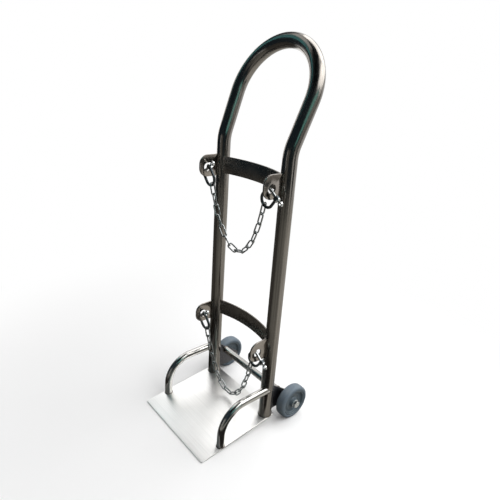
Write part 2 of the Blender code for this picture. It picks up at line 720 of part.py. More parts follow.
def make_materials():
    materials = {}
    materials["frame"] = make_material("polished stainless tube", (0.46, 0.44, 0.41), 0.16, 1.0)
    materials["plate"] = make_material("brushed stainless sheet", (0.74, 0.74, 0.73), 0.30, 1.0)
    materials["guard"] = make_material("polished stainless guard tube", (0.56, 0.55, 0.53), 0.14, 1.0)
    materials["band"] = make_material("stainless flat bar", (0.40, 0.37, 0.34), 0.24, 1.0)
    materials["lug"] = make_material("stainless lug", (0.44, 0.40, 0.37), 0.26, 1.0)
    materials["bracket"] = make_material("stainless bracket", (0.36, 0.33, 0.31), 0.28, 1.0)
    materials["bolt"] = make_material("zinc plated bolt", (0.62, 0.63, 0.63), 0.28, 1.0)
    materials["tyre"] = make_material("blue grey rubber", (0.10, 0.125, 0.155), 0.62, 0.0)
    materials["hub"] = make_material("grey moulded hub", (0.125, 0.165, 0.185), 0.45, 0.0)
    materials["bow"] = make_material("zinc plated bow", (0.30, 0.31, 0.32), 0.32, 1.0)
    materials["pin"] = make_material("bright zinc pin", (0.74, 0.76, 0.76), 0.22, 1.0)
    materials["link"] = make_material("zinc plated chain", (0.36, 0.37, 0.38), 0.30, 1.0)
    return materials


def add_frame(cart, materials):
    """The welded frame: tube, foot plate, guards, bands, lugs and cross tube."""
    sideways = Vector((1, 0, 0))
    frame = hollow_tube("frame_tube", frame_path(), TUBE_DIAMETER, TUBE_WALL, TUBE_SIDES,
                        sideways, onto_plate, onto_plate)
    make_object("frame_tube", frame, materials["frame"], cart)
    tilt = Matrix.Translation((0, -PLATE_FRONT, 0)) @ Matrix.Rotation(PLATE_SLOPE, 4, "X")
    make_object("foot_plate", foot_plate_mesh(), materials["plate"], cart, tilt)
    for side, word in ((-1, "left"), (1, "right")):
        guard = hollow_tube("side_guard_" + word, guard_path(side), GUARD_DIAMETER, GUARD_WALL,
                            SMALL_TUBE_SIDES, sideways, onto_plate, onto_upright)
        make_object("side_guard_" + word, guard, materials["guard"], cart)
    upper_band = ("upper", UPPER_BAND_LEVEL, UPPER_BAND_FORWARD)
    lower_band = ("lower", LOWER_BAND_LEVEL, LOWER_BAND_FORWARD)
    for word, level, forward in (upper_band, lower_band):
        band = band_mesh("back_band_" + word, forward)
        make_object("back_band_" + word, band, materials["band"], cart, Matrix.Translation((0, 0, level)))
    lug = lug_mesh("chain_lug")
    for level_word, level in (("upper", UPPER_LUG_LEVEL), ("lower", LOWER_LUG_LEVEL)):
        for side, word in ((-1, "left"), (1, "right")):
            place = Matrix.Translation((side * SIDE, -LUG_HOLE_FRONT, level))
            make_object(f"{level_word}_chain_lug_{word}", lug, materials["lug"], cart, place)
    reach = SIDE - BRACKET_THICKNESS / 2 - FIT
    path = [Vector((-reach, CROSS_BACK, CROSS_LEVEL)), Vector((reach, CROSS_BACK, CROSS_LEVEL))]
    cross = hollow_tube("cross_tube", path, CROSS_DIAMETER, CROSS_WALL, SMALL_TUBE_SIDES,
                        Vector((0, 0, 1)), Vector, Vector)
    make_object("cross_tube", cross, materials["frame"], cart)


def build():
    clear_scene()
    materials = make_materials()
    cart = make_empty("cart", (0, UPRIGHT_PLACE, 0))
    add_frame(cart, materials)
    for side, word in ((-1, "left"), (1, "right")):
        add_wheel(side, word, cart, materials)
    bow = bow_mesh("shackle_bow")
    pin = pin_mesh("shackle_pin")
    link = link_mesh("chain_link")
    add_chain("upper", UPPER_LUG_LEVEL, UPPER_LINKS, cart, bow, pin, link, materials)
    add_chain("lower", LOWER_LUG_LEVEL, LOWER_LINKS, cart, bow, pin, link, materials)
    bpy.context.view_layer.update()


build()
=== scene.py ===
"""Looks of a hand cart for one gas cylinder.

Laid out as a Blender add-on and run as a script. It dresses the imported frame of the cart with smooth
tubes, plates with worn edges, weld beads, wheels, shackles and chains, and gives each piece its finish.

Axes: +X to the right seen from the front, +Y to the rear, +Z up. Lengths are in metres.
"""

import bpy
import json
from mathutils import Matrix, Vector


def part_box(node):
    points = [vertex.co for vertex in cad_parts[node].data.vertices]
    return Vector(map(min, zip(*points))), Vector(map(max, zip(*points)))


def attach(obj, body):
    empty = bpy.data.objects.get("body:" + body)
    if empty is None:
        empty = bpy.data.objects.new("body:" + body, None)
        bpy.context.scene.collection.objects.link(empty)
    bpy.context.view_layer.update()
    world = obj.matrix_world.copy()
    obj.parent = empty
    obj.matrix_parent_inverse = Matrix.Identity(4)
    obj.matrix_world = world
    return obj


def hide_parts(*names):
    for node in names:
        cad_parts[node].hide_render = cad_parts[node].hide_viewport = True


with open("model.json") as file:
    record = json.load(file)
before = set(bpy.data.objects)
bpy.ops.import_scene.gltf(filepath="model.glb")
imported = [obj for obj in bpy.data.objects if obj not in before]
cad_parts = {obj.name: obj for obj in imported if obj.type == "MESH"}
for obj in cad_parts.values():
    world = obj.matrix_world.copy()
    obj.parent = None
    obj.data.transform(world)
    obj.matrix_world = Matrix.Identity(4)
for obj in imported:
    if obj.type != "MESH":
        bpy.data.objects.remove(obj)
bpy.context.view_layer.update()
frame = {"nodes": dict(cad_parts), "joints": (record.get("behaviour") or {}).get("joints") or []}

import json
from math import acos, asin, atan2, cos, hypot, pi, radians, sin, sqrt, tan

import bmesh
import bpy
import numpy as np
from bpy.props import FloatProperty, FloatVectorProperty, PointerProperty
from mathutils import Matrix, Vector, noise

bl_info = {
    "name": "Gas cylinder cart",
    "version": (1, 0, 0),
    "blender": (4, 5, 0),
    "location": "View3D > Sidebar > Cart",
    "description": "Builds the visible pieces of a gas cylinder cart and their finishes over its frame",
    "category": "Object",
}

SIDES = {"left": -1, "right": 1}
LEVELS = ("upper", "lower")
RIGHT, REAR, UP = Vector((1, 0, 0)), Vector((0, 1, 0)), Vector((0, 0, 1))
JOINT_PLACES = {joint["name"]: Vector(joint["pos_m"]) for joint in frame["joints"]}
TUBE_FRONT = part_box("frame_tube")[0].y

# Points round a tube and a weld bead, and directions in which a plate's outline is measured.
TUBE_SIDES = 56
SLIM_TUBE_SIDES = 40
WELD_SIDES = 10
PLATE_STEPS = 72
# Two directions closer than this, in radians, count as one.
SAME_ANGLE = 0.004
# Below this a line and an edge count as parallel, and by this share an edge is taken as longer at both ends.
PARALLEL = 1e-12
EDGE_SLACK = 1e-9
# Shares of a weld bead's girth: swell at each ripple, swell by chance, girth at a free end and gain per step.
RIPPLE_SWELL = 0.13
UNEVEN_SWELL = 0.22
BEAD_END = 0.45
BEAD_END_STEP = 0.25
# Steps along a bead to each ripple, chance bumps to a metre, and how far a bead stops short of a corner.
RIPPLE_STEPS = 4
UNEVEN_PER_METRE = 260
WELD_STOP = 0.001


def from_hex(code):
    """Linear red, green, blue and alpha of an sRGB hex colour."""
    channels = []
    for i in (1, 3, 5):
        value = int(code[i:i + 2], 16) / 255
        channels.append(value / 12.92 if value <= 0.04045 else ((value + 0.055) / 1.055) ** 2.4)
    return (*channels, 1.0)


def size(name, description, default):
    return FloatProperty(name=name, description=description, default=default, unit="LENGTH", precision=4)


def slant(name, description, degrees):
    return FloatProperty(name=name, description=description, default=radians(degrees), subtype="ANGLE")


def tint(name, description, code):
    return FloatVectorProperty(name=name, description=description, default=from_hex(code),
                               subtype="COLOR", size=4, min=0.0, max=1.0)


class CartFrameSizes(bpy.types.PropertyGroup):
    """Sizes of the welded frame"""
    tube: size("Tube", "Outside diameter of the frame tube", 0.038)
    spacing: size("Spacing", "Distance between the uprights' axes", 0.2548)
    bend_height: size("Bend height", "Height at which the uprights start to lean back", 0.781)
    bend_radius: size("Bend radius", "Radius of that bend", 0.100)
    lean: slant("Lean", "How far the handle leans to the rear", 21.6)
    splay: slant("Splay", "How far the handle's legs spread", 3.2)
    leg: size("Leg", "Straight run between the bend and the handle's loop", 0.101)
    plate_front: size("Plate front", "From the uprights' axes to the plate's front edge", 0.2406)
    plate_overhang: size("Plate overhang", "Plate behind the uprights", 0.0008)
    plate_margin: size("Plate margin", "Plate beside the uprights", 0.0009)
    plate_thickness: size("Plate thickness", "Thickness of the foot plate", 0.004)
    plate_slope: slant("Plate slope", "How far the foot plate slopes down to the front", 5.7)
    plate_corner: size("Plate corner", "Radius of the plate's corners", 0.006)
    guard: size("Guard", "Outside diameter of the guard tubes", 0.022)
    guard_front: size("Guard front", "From the uprights' axes to the guard's leg", 0.170)
    guard_height: size("Guard height", "Height of the guard's arm", 0.1224)
    guard_bend: size("Guard bend", "Radius of the guard's bend", 0.076)
    band_height: size("Band height", "Height of the curved bars", 0.047)
    band_thickness: size("Band thickness", "Thickness of the curved bars", 0.004)
    band_rise: size("Band rise", "How far a bar's middle lies behind its ends", 0.0186)
    upper_band: size("Upper band", "Height of the upper bar's middle line", 0.724)
    lower_band: size("Lower band", "Height of the lower bar's middle line", 0.2765)
    upper_forward: size("Upper forward", "How far the upper bar's ends lie in front of the axes", 0.008)
    lower_forward: size("Lower forward", "How far the lower bar's ends lie in front of the axes", -0.003)
    lug_thickness: size("Lug thickness", "Thickness of the chain lugs", 0.005)
    lug_corner: size("Lug corner", "Radius of a lug's front corners", 0.025)
    lug_hole: size("Lug hole", "Diameter of the hole for the shackle", 0.023)
    lug_hole_edge: size("Lug hole edge", "From the hole's centre to the lug's front", 0.0255)
    lug_hole_drop: size("Lug hole drop", "From the lug's top to the hole's centre", 0.0335)
    bracket_thickness: size("Bracket thickness", "Thickness of the wheel brackets", 0.005)
    bracket_nose: size("Bracket nose", "Radius of a bracket round the axle", 0.019)
    cross: size("Cross tube", "Outside diameter of the tube between the brackets", 0.022)
    cross_back: size("Cross back", "Cross tube's axis behind the uprights' axes", 0.0446)
    cross_level: size("Cross level", "Height of the cross tube's axis", 0.0905)
    worn_edge: size("Worn edge", "Rounding of the plates' cut edges", 0.0007)
    weld: size("Weld", "Radius of a weld bead", 0.0015)
    ripple: size("Ripple", "Distance between the ripples of a weld bead", 0.0020)


class CartWheelSizes(bpy.types.PropertyGroup):
    """Sizes of the wheels and their axle bolts"""
    diameter: size("Diameter", "Diameter of the tyre", 0.105)
    width: size("Width", "Width of the tyre", 0.0306)
    tyre: size("Tyre", "Thickness of the tyre", 0.0115)
    shoulder: size("Shoulder", "Radius of the tyre's shoulders", 0.008)
    rim: size("Rim", "Thickness of the hub's rim", 0.0045)
    recess: size("Recess", "Rim's face behind the tyre's side", 0.0015)
    web: size("Web", "Thickness of the hub's web", 0.012)
    boss: size("Boss", "Diameter of the hub's boss", 0.026)
    proud: size("Proud", "Boss in front of the tyre's side", 0.0007)
    axle: size("Axle", "Diameter of the axle bolt", 0.012)
    hex: size("Hexagon", "Width across flats of bolt head and nut", 0.020)
    head: size("Head", "Height of the bolt's head", 0.009)
    nut: size("Nut", "Height of the nut", 0.010)
    thread: size("Thread", "Thread that shows past the nut", 0.003)
    spacer_diameter: size("Spacer diameter", "Outside diameter of the spacer tube", 0.020)
    fit: size("Fit", "Gap between pieces that turn on each other", 0.0003)


class CartChainSizes(bpy.types.PropertyGroup):
    """Sizes of the shackles and the chains"""
    bow: size("Bow", "Diameter of a bow's rod", 0.0075)
    bow_width: size("Bow width", "Inside width of a bow", 0.030)
    bow_length: size("Bow length", "From the pin's axis to the inside of the bow", 0.043)
    eye: size("Eye", "Diameter of a bow's eye", 0.015)
    eye_thickness: size("Eye thickness", "Thickness of a bow's eye", 0.008)
    pin: size("Pin", "Diameter of a pin", 0.008)
    tip: size("Tip", "Pin past the bow's far eye", 0.003)
    collar: size("Collar", "Diameter of a pin's collar", 0.0145)
    collar_length: size("Collar length", "Length of a pin's collar", 0.0025)
    neck: size("Neck", "Length of the neck between a pin's collar and its eye", 0.003)
    pin_eye: size("Pin eye", "Diameter of a pin's flat eye", 0.0135)
    pin_eye_hole: size("Pin eye hole", "Hole in a pin's flat eye", 0.0055)
    pin_eye_thickness: size("Pin eye thickness", "Thickness of a pin's flat eye", 0.005)
    play: size("Play", "Gap between a shackle and the lug", 0.0010)
    tilt: slant("Tilt", "How far the chain draws each shackle inward", 37)
    swing: slant("Swing", "How far the chains hang to the rear", 3)
    wire: size("Wire", "Diameter of a link's wire", 0.004)
    link_length: size("Link length", "Inside length of a link", 0.030)
    link_width: size("Link width", "Inside width of a link", 0.0084)


class CartColours(bpy.types.PropertyGroup):
    """Colours of the finishes"""
    # Painted shade: the frame tube's steel grey is set darker than the guards' tubes of the same polished
    # steel, for the dim room that it mirrors.
    tube: tint("Tube", "Polished stainless frame tube", "#938e88")
    guard: tint("Guard", "Polished stainless guard and cross tubes", "#d2d0cc")
    plate: tint("Plate", "Brushed stainless foot plate", "#f3f2f0")
    band: tint("Band", "Curved flat bars", "#9a948e")
    lug: tint("Lug", "Chain lugs", "#a49d96")
    bracket: tint("Bracket", "Wheel brackets", "#66666a")
    weld: tint("Weld", "Weld beads", "#7f7973")
    heat: tint("Heat", "Heat tint of the weld beads", "#5f564e")
    link: tint("Link", "Zinc-plated chain links", "#a4a8a8")
    bow: tint("Bow", "Zinc-plated shackle bows", "#585d60")
    pin: tint("Pin", "Bright zinc pins and bolts", "#d3d6d6")
    tyre: tint("Tyre", "Rubber tyres", "#64727e")
    dust: tint("Dust", "Dust on the tyres", "#7d858a")
    hub: tint("Hub", "Moulded wheel centres", "#647179")


class CartStudio(bpy.types.PropertyGroup):
    """Floor, light and camera"""
    floor: tint("Floor", "Pale floor", "#fafafa")
    near_mat: tint("Near mat", "Card on the floor close to the cart", "#2b2927")
    left_mat: tint("Left mat", "Card on the floor at the left front", "#62605c")
    front_mat: tint("Front mat", "Card on the floor at the right front", "#979690")
    right_mat: tint("Right mat", "Card on the floor at the right", "#c9c7c1")
    wall: tint("Wall", "Dark card in front of the cart", "#37444d")
    teal: tint("Teal", "Cool card high at the left", "#86dbe1")
    bounce: tint("Bounce", "Floor as it lights the cart from below", "#3a3836")
    sky: FloatProperty(name="Surround", description="Strength of the pale surround", default=0.42)
    lens: FloatProperty(name="Lens", description="Focal length for a 36 mm wide picture", default=32.375)
    eye: FloatVectorProperty(name="Eye", description="Place of the camera", subtype="TRANSLATION",
                             default=(0.859386, -0.712759, 0.980102))
    azimuth: slant("Azimuth", "Camera to the right of the cart's front", 47.91)
    fall: slant("Fall", "Camera's look below the horizon", 22.287)
    roll: slant("Roll", "Camera's roll", 4.12)


# Mesh

def bridge(shape, first, second, grain=None):
    """Join two rings of the same number of vertices; grain is (layer, girth, start, end) in metres."""
    count = len(first)
    for i in range(count):
        j = (i + 1) % count
        face = shape.faces.new((first[i], first[j], second[j], second[i]))
        if grain:
            layer, girth, start, end = grain
            corners = ((i, start), (i + 1, start), (i + 1, end), (i, end))
            for loop, (step, along) in zip(face.loops, corners):
                loop[layer].uv = (girth * step / count, along)


def bridge_rows(shape, rows):
    """Join each row of vertices to the next."""
    for first, second in zip(rows, rows[1:]):
        bridge(shape, first, second)


def add_loft(shape, rings, closed=False):
    """Skin a row of rings: capped at both ends, or joined end to end when closed."""
    rows = [[shape.verts.new(point) for point in ring] for ring in rings]
    bridge_rows(shape, rows)
    if closed:
        bridge(shape, rows[-1], rows[0])
    else:
        shape.faces.new(rows[0])
        shape.faces.new(rows[-1])


def circle(centre, first, second, radius, sides):
    """Points round a centre in the plane of two unit directions."""
    angles = (2 * pi * i / sides for i in range(sides))
    return [centre + radius * (cos(angle) * first + sin(angle) * second) for angle in angles]


def path_rings(path, radius, sides, reference):
    """Circles square to a path, turning with it as little as possible."""
    rings = []
    normal = reference
    for i, point in enumerate(path):
        along = (path[min(i + 1, len(path) - 1)] - path[max(i - 1, 0)]).normalized()
        normal = (normal - normal.dot(along) * along).normalized()
        rings.append(circle(point, normal, along.cross(normal), radius, sides))
    return rings


def add_tube(shape, path, diameter, sides, reference, seat_start, seat_end):
    """A tube along a path whose rims are laid on what they meet, with its grain in metres."""
    rings = path_rings(path, diameter / 2, sides, reference)
    rings[0] = [seat_start(point) for point in rings[0]]
    rings[-1] = [seat_end(point) for point in rings[-1]]
    rows = [[shape.verts.new(point) for point in ring] for ring in rings]
    layer = shape.loops.layers.uv.new("grain")
    along = 0.0
    for i in range(len(rows) - 1):
        step = (path[i + 1] - path[i]).length
        bridge(shape, rows[i], rows[i + 1], (layer, pi * diameter, along, along + step))
        along += step
    shape.faces.new(rows[0])
    shape.faces.new(rows[-1])


def add_turned(shape, profile, centre, sides):
    """Turn a closed profile of (x, radius) points about a line along X through a centre."""
    rings = [circle(centre + Vector((x, 0, 0)), REAR, UP, radius, sides) for x, radius in profile]
    add_loft(shape, rings, closed=True)


def arc_points(centre, radius, start, end, steps):
    """Points on an arc in a plane, both ends included; angles are from the first axis to the second."""
    angles = (start + (end - start) * i / steps for i in range(steps + 1))
    return [(centre[0] + radius * cos(angle), centre[1] + radius * sin(angle)) for angle in angles]


def rounded_oblong(centre, half_width, half_height, radius, steps):
    """Outline of an oblong with round corners."""
    points = []
    for x, y, start in ((1, -1, -pi / 2), (1, 1, 0), (-1, 1, pi / 2), (-1, -1, pi)):
        corner = (centre[0] + x * (half_width - radius), centre[1] + y * (half_height - radius))
        points += arc_points(corner, radius, start, start + pi / 2, steps)
    return points


def worn_steps(edge):
    """(depth, inset) of each step from a plate's face to its side, over a worn edge."""
    return (0, edge), (0.3 * edge, 0.3 * edge), (edge, 0)


def reach(outline, angle):
    """Distance from the origin to a convex outline that surrounds it, along an angle."""
    ahead = Vector((cos(angle), sin(angle)))
    best = 0.0
    for first, second in zip(outline, outline[1:] + outline[:1]):
        start = Vector(first)
        edge = Vector(second) - start
        cross = ahead.x * edge.y - ahead.y * edge.x
        if abs(cross) < PARALLEL:
            continue
        distance = (start.x * edge.y - start.y * edge.x) / cross
        share = (start.x * ahead.y - start.y * ahead.x) / cross
        if distance > 0 and -EDGE_SLACK <= share <= 1 + EDGE_SLACK:
            best = max(best, distance)
    return best


def add_pierced_plate(shape, outline, hole_radius, thickness, edge, centre):
    """A plate square to X round a hole at centre; every edge is worn to a small round."""
    angles = [2 * pi * i / PLATE_STEPS for i in range(PLATE_STEPS)]
    for y, z in outline:
        angle = atan2(z, y) % (2 * pi)
        if min(abs(angle - known) for known in angles) > SAME_ANGLE:
            angles.append(angle)
    angles.sort()
    rim = [reach(outline, angle) for angle in angles]
    half = thickness / 2
    rows = [(half - depth, [distance - inset for distance in rim]) for depth, inset in worn_steps(edge)]
    rows += [(-lift, radii) for lift, radii in rows[::-1]]
    for lift, inset in ((-half, edge), (edge - half, 0), (half - edge, 0), (half, edge)):
        rows.append((lift, [hole_radius + inset] * len(angles)))
    rings = []
    for lift, radii in rows:
        rings.append([centre + Vector((lift, distance * cos(angle), distance * sin(angle)))
                      for angle, distance in zip(angles, radii)])
    add_loft(shape, rings, closed=True)


def add_weld(shape, path, reference, sizes, closed=True):
    """A weld bead along a path: a rod whose girth swells at every ripple, a little unevenly."""
    points = [path[0]]
    for end in path[1:] + path[:1] if closed else path[1:]:
        start = points[-1]
        count = max(1, round((end - start).length / (sizes.ripple / RIPPLE_STEPS)))
        points += [start.lerp(end, (i + 1) / count) for i in range(count)]
    if closed:
        points.pop()
    rings = []
    last = len(points) - 1
    along_path = 0.0
    for i, point in enumerate(points):
        before = points[i - 1] if closed or i else point
        after = points[(i + 1) % len(points)] if closed or i < last else point
        along = (after - before).normalized()
        first = (reference - reference.dot(along) * along).normalized()
        swell = RIPPLE_SWELL * cos(2 * pi * along_path / sizes.ripple)
        swell += UNEVEN_SWELL * noise.noise(point * UNEVEN_PER_METRE)
        taper = 1.0 if closed else min(1.0, BEAD_END + BEAD_END_STEP * min(i, last - i))
        rings.append(circle(point, first, along.cross(first), sizes.weld * taper * (1 + swell), WELD_SIDES))
        along_path += (after - point).length
    add_loft(shape, rings, closed)


def add_object(name, shape, material):
    """Turn a bmesh into an object of the scene."""
    mesh = bpy.data.meshes.new(name)
    shape.to_mesh(mesh)
    shape.free()
    mesh.materials.append(material)
    item = bpy.data.objects.new(name, mesh)
    bpy.context.scene.collection.objects.link(item)
    return item


def new_piece(name, shape, material, body, slot, replaced=(), sharp=38):
    """Turn a bmesh into a piece that rides on a body and may stand for nodes of the frame.

    Edges that turn by more than sharp degrees stay crisp.
    """
    bmesh.ops.recalc_face_normals(shape, faces=shape.faces)
    piece = add_object(name, shape, material)
    piece.data.shade_smooth()
    piece.data.set_sharp_from_angle(angle=radians(sharp))
    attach(piece, body)
    if replaced:
        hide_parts(*replaced)
    return piece


# Places on the frame

def uprights_y(sizes):
    """The uprights' axes along Y, from the frame tube's foremost point."""
    return TUBE_FRONT + sizes.tube / 2


def guard_x(sizes):
    """The guards' axes to either side, so that their outer sides lie level with the uprights'."""
    return sizes.spacing / 2 + sizes.tube / 2 - sizes.guard / 2


def plate_top(sizes, y):
    """Height of the foot plate's upper face at a world y."""
    front = uprights_y(sizes) - sizes.plate_front
    return (y - front) * tan(sizes.plate_slope) + sizes.plate_thickness / cos(sizes.plate_slope)


def on_plate(sizes):
    """Slides a point along Z to the foot plate's upper face."""
    return lambda point: Vector((point.x, point.y, plate_top(sizes, point.y)))


def on_upright_front(sizes):
    """Slides a point along Y to the front of the upright on its side."""
    def seat(point):
        across = abs(point.x) - sizes.spacing / 2
        depth = sqrt(max(0.0, (sizes.tube / 2) ** 2 - across ** 2))
        return Vector((point.x, uprights_y(sizes) - depth, point.z))
    return seat


def held_within(value, limit):
    return max(-limit, min(limit, value))


def root_line(x, y, low, high):
    """The line up a plate's root, a little short of its corners."""
    return [Vector((x, y, z)) for z in (low.z + WELD_STOP, high.z - WELD_STOP)]


# Materials

def add_node(tree, kind, values=None, links=None, **settings):
    """Add a node with its settings, its input values and its links, from sockets or nodes' first outputs."""
    node = tree.nodes.new(kind)
    for name, value in settings.items():
        setattr(node, name, value)
    for name, value in (values or {}).items():
        node.inputs[name].default_value = value
    for name, source in (links or {}).items():
        socket = source.outputs[0] if isinstance(source, bpy.types.Node) else source
        tree.links.new(socket, node.inputs[name])
    return node


def start_material(name, metallic, roughness):
    """A named material with a Principled shader, its tree and its shader."""
    material = bpy.data.materials.new(name)
    material.use_nodes = True
    tree = material.node_tree
    shader = tree.nodes["Principled BSDF"]
    shader.inputs["Metallic"].default_value = metallic
    shader.inputs["Roughness"].default_value = roughness
    return material, tree, shader


def darker(colour, share):
    return (colour[0] * share, colour[1] * share, colour[2] * share, 1.0)


def dress(tree, shader, tone, gloss, relief):
    """Lead a finish's patterns to its shader.

    tone is a pattern and the (level, colour) of its low and its high end. gloss is a pattern, its low and
    high level and the roughness at each, or None. relief is a pattern, its strength and its depth.
    """
    pattern, *stops = tone
    ramp = add_node(tree, "ShaderNodeValToRGB", links={"Fac": pattern})
    for element, (level, colour) in zip(ramp.color_ramp.elements, stops):
        element.position = level
        element.color = colour
    tree.links.new(ramp.outputs["Color"], shader.inputs["Base Color"])
    if gloss:
        pattern, *span = gloss
        values = dict(zip(("From Min", "From Max", "To Min", "To Max"), span))
        rough = add_node(tree, "ShaderNodeMapRange", values, {"Value": pattern})
        tree.links.new(rough.outputs["Result"], shader.inputs["Roughness"])
    pattern, strength, depth = relief
    bump = add_node(tree, "ShaderNodeBump", {"Strength": strength, "Distance": depth}, {"Height": pattern})
    tree.links.new(bump.outputs["Normal"], shader.inputs["Normal"])


def polished_tube_steel(name, colour, roughness):
    """Stainless tube, drawn, welded and belt-polished.

    The eye sees a clear mirror drawn out along the tube, faint lengthwise draw lines and soft handling haze.
    """
    material, tree, shader = start_material(name, metallic=1.0, roughness=roughness)
    # Draw lines are about 0.2 mm apart and 250 mm long; drawn 3 mm apart so that they show.
    grain = add_node(tree, "ShaderNodeUVMap", uv_map="grain")
    lines = add_node(tree, "ShaderNodeMapping", {"Scale": (1 / 0.003, 1 / 0.250, 1)}, {"Vector": grain})
    drawn = add_node(tree, "ShaderNodeTexNoise", {"Scale": 1.0, "Detail": 3.0}, {"Vector": lines})
    # Haze from hands and storage, in patches of about 60 mm.
    place = add_node(tree, "ShaderNodeTexCoord").outputs["Object"]
    haze = add_node(tree, "ShaderNodeTexNoise", {"Scale": 1 / 0.060, "Detail": 5.0, "Roughness": 0.6},
                    {"Vector": place})
    dress(tree, shader, tone=(drawn, (0.30, darker(colour, 0.55)), (0.66, colour)),
          gloss=(haze, 0.3, 0.75, roughness * 0.75, roughness * 1.6), relief=(drawn, 0.10, 0.0002))
    return material


def brushed_sheet_steel(colour):
    """Stainless sheet, brushed in one direction and scuffed by cylinder bases.

    The eye sees a pale satin face with fine lines along the plate, blurred reflections and grey scuffs.
    """
    material, tree, shader = start_material("brushed stainless sheet", metallic=1.0, roughness=0.38)
    place = add_node(tree, "ShaderNodeTexCoord").outputs["Object"]
    # Brush lines are about 0.1 mm apart; drawn 1.5 mm apart and 150 mm long so that they show.
    lines = add_node(tree, "ShaderNodeMapping", {"Scale": (1 / 0.150, 1 / 0.0015, 1 / 0.0015)},
                     {"Vector": place})
    brushed = add_node(tree, "ShaderNodeTexNoise", {"Scale": 1.0, "Detail": 4.0}, {"Vector": lines})
    # Scuffs and rolled-on tone in patches of about 90 mm.
    scuff = add_node(tree, "ShaderNodeTexNoise", {"Scale": 1 / 0.090, "Detail": 6.0, "Roughness": 0.62},
                     {"Vector": place})
    both = add_node(tree, "ShaderNodeMath", {1: 0.5}, {0: scuff, 2: brushed}, operation="MULTIPLY_ADD")
    dress(tree, shader, tone=(both, (0.45, darker(colour, 0.86)), (0.90, colour)),
          gloss=(scuff, 0.3, 0.7, 0.32, 0.48), relief=(brushed, 0.12, 0.0002))
    return material


def rolled_bar_steel(name, colour, roughness):
    """Stainless flat bar, rolled and pickled, then wiped over with a belt.

    The eye sees a dark satin face with a cloudy tone and fine belt lines.
    """
    material, tree, shader = start_material(name, metallic=1.0, roughness=roughness)
    place = add_node(tree, "ShaderNodeTexCoord").outputs["Object"]
    # Rolling clouds of about 35 mm.
    cloud = add_node(tree, "ShaderNodeTexNoise", {"Scale": 1 / 0.035, "Detail": 3.0, "Roughness": 0.5},
                     {"Vector": place})
    # Belt lines about 0.3 mm apart, drawn 1.2 mm apart and 60 mm long so that they show.
    lines = add_node(tree, "ShaderNodeMapping", {"Scale": (1 / 0.060, 1 / 0.0012, 1 / 0.0012)},
                     {"Vector": place})
    belt = add_node(tree, "ShaderNodeTexNoise", {"Scale": 1.0, "Detail": 3.0}, {"Vector": lines})
    both = add_node(tree, "ShaderNodeMath", {1: 0.4}, {0: belt, 2: cloud}, operation="MULTIPLY_ADD")
    dress(tree, shader, tone=(both, (0.45, darker(colour, 0.72)), (0.92, colour)),
          gloss=(cloud, 0.3, 0.7, roughness * 0.8, roughness * 1.4), relief=(belt, 0.12, 0.0002))
    return material


def weld_steel(colour, heat):
    """Stainless filler laid as ripples and left as welded.

    The eye sees a rough silvery bead with brown heat tint in patches.
    """
    material, tree, shader = start_material("stainless weld bead", metallic=1.0, roughness=0.34)
    place = add_node(tree, "ShaderNodeTexCoord").outputs["Object"]
    # Heat tint changes every 8 mm or so.
    patch = add_node(tree, "ShaderNodeTexNoise", {"Scale": 1 / 0.008, "Detail": 4.0}, {"Vector": place})
    # Solidified scale, about 0.6 mm.
    scale = add_node(tree, "ShaderNodeTexNoise", {"Scale": 1 / 0.0006, "Detail": 2.0}, {"Vector": place})
    dress(tree, shader, tone=(patch, (0.38, heat), (0.62, colour)), gloss=None, relief=(scale, 0.25, 0.0002))
    return material


def zinc_plate(name, colour, roughness):
    """Steel, forged or bent from wire, barrel-plated with zinc.

    The eye sees a cool silver with small dull spots where the pieces have rubbed and tarnished.
    """
    material, tree, shader = start_material(name, metallic=1.0, roughness=roughness)
    place = add_node(tree, "ShaderNodeTexCoord").outputs["Object"]
    # Tarnish spots of about 3 mm.
    spot = add_node(tree, "ShaderNodeTexNoise", {"Scale": 1 / 0.003, "Detail": 4.0, "Roughness": 0.6},
                    {"Vector": place})
    dress(tree, shader, tone=(spot, (0.36, darker(colour, 0.55)), (0.58, colour)),
          gloss=(spot, 0.35, 0.65, roughness * 1.5, roughness * 0.85), relief=(spot, 0.10, 0.0002))
    return material


def moulded_rubber(colour, dust):
    """Grey rubber, moulded on the wheel centre.

    The eye sees a matt blue-grey with a fine pebble from the mould and floor dust in soft patches.
    """
    material, tree, shader = start_material("moulded grey rubber", metallic=0.0, roughness=0.62)
    shader.inputs["IOR"].default_value = 1.52
    place = add_node(tree, "ShaderNodeTexCoord").outputs["Object"]
    # Dust patches of about 18 mm.
    patch = add_node(tree, "ShaderNodeTexNoise", {"Scale": 1 / 0.018, "Detail": 6.0, "Roughness": 0.65},
                     {"Vector": place})
    # Pebble of the mould, about 0.5 mm.
    pebble = add_node(tree, "ShaderNodeTexVoronoi", {"Scale": 1 / 0.0005}, {"Vector": place})
    dress(tree, shader, tone=(patch, (0.42, colour), (0.80, dust)), gloss=(patch, 0.3, 0.7, 0.50, 0.78),
          relief=(pebble, 0.15, 0.0001))
    return material


def moulded_hub_plastic(colour):
    """Polypropylene, injection moulded in one piece.

    The eye sees a satin blue-grey, with faint flow marks and a fine spark-eroded texture.
    """
    material, tree, shader = start_material("moulded polypropylene", metallic=0.0, roughness=0.42)
    shader.inputs["IOR"].default_value = 1.49
    place = add_node(tree, "ShaderNodeTexCoord").outputs["Object"]
    # Flow marks of about 12 mm.
    flow = add_node(tree, "ShaderNodeTexNoise", {"Scale": 1 / 0.012, "Detail": 4.0, "Distortion": 0.8},
                    {"Vector": place})
    # Spark-eroded texture of about 0.4 mm.
    spark = add_node(tree, "ShaderNodeTexNoise", {"Scale": 1 / 0.0004, "Detail": 2.0}, {"Vector": place})
    dress(tree, shader, tone=(flow, (0.35, darker(colour, 0.82)), (0.68, colour)),
          gloss=(flow, 0.3, 0.7, 0.34, 0.52), relief=(spark, 0.12, 0.0001))
    return material


# Pieces

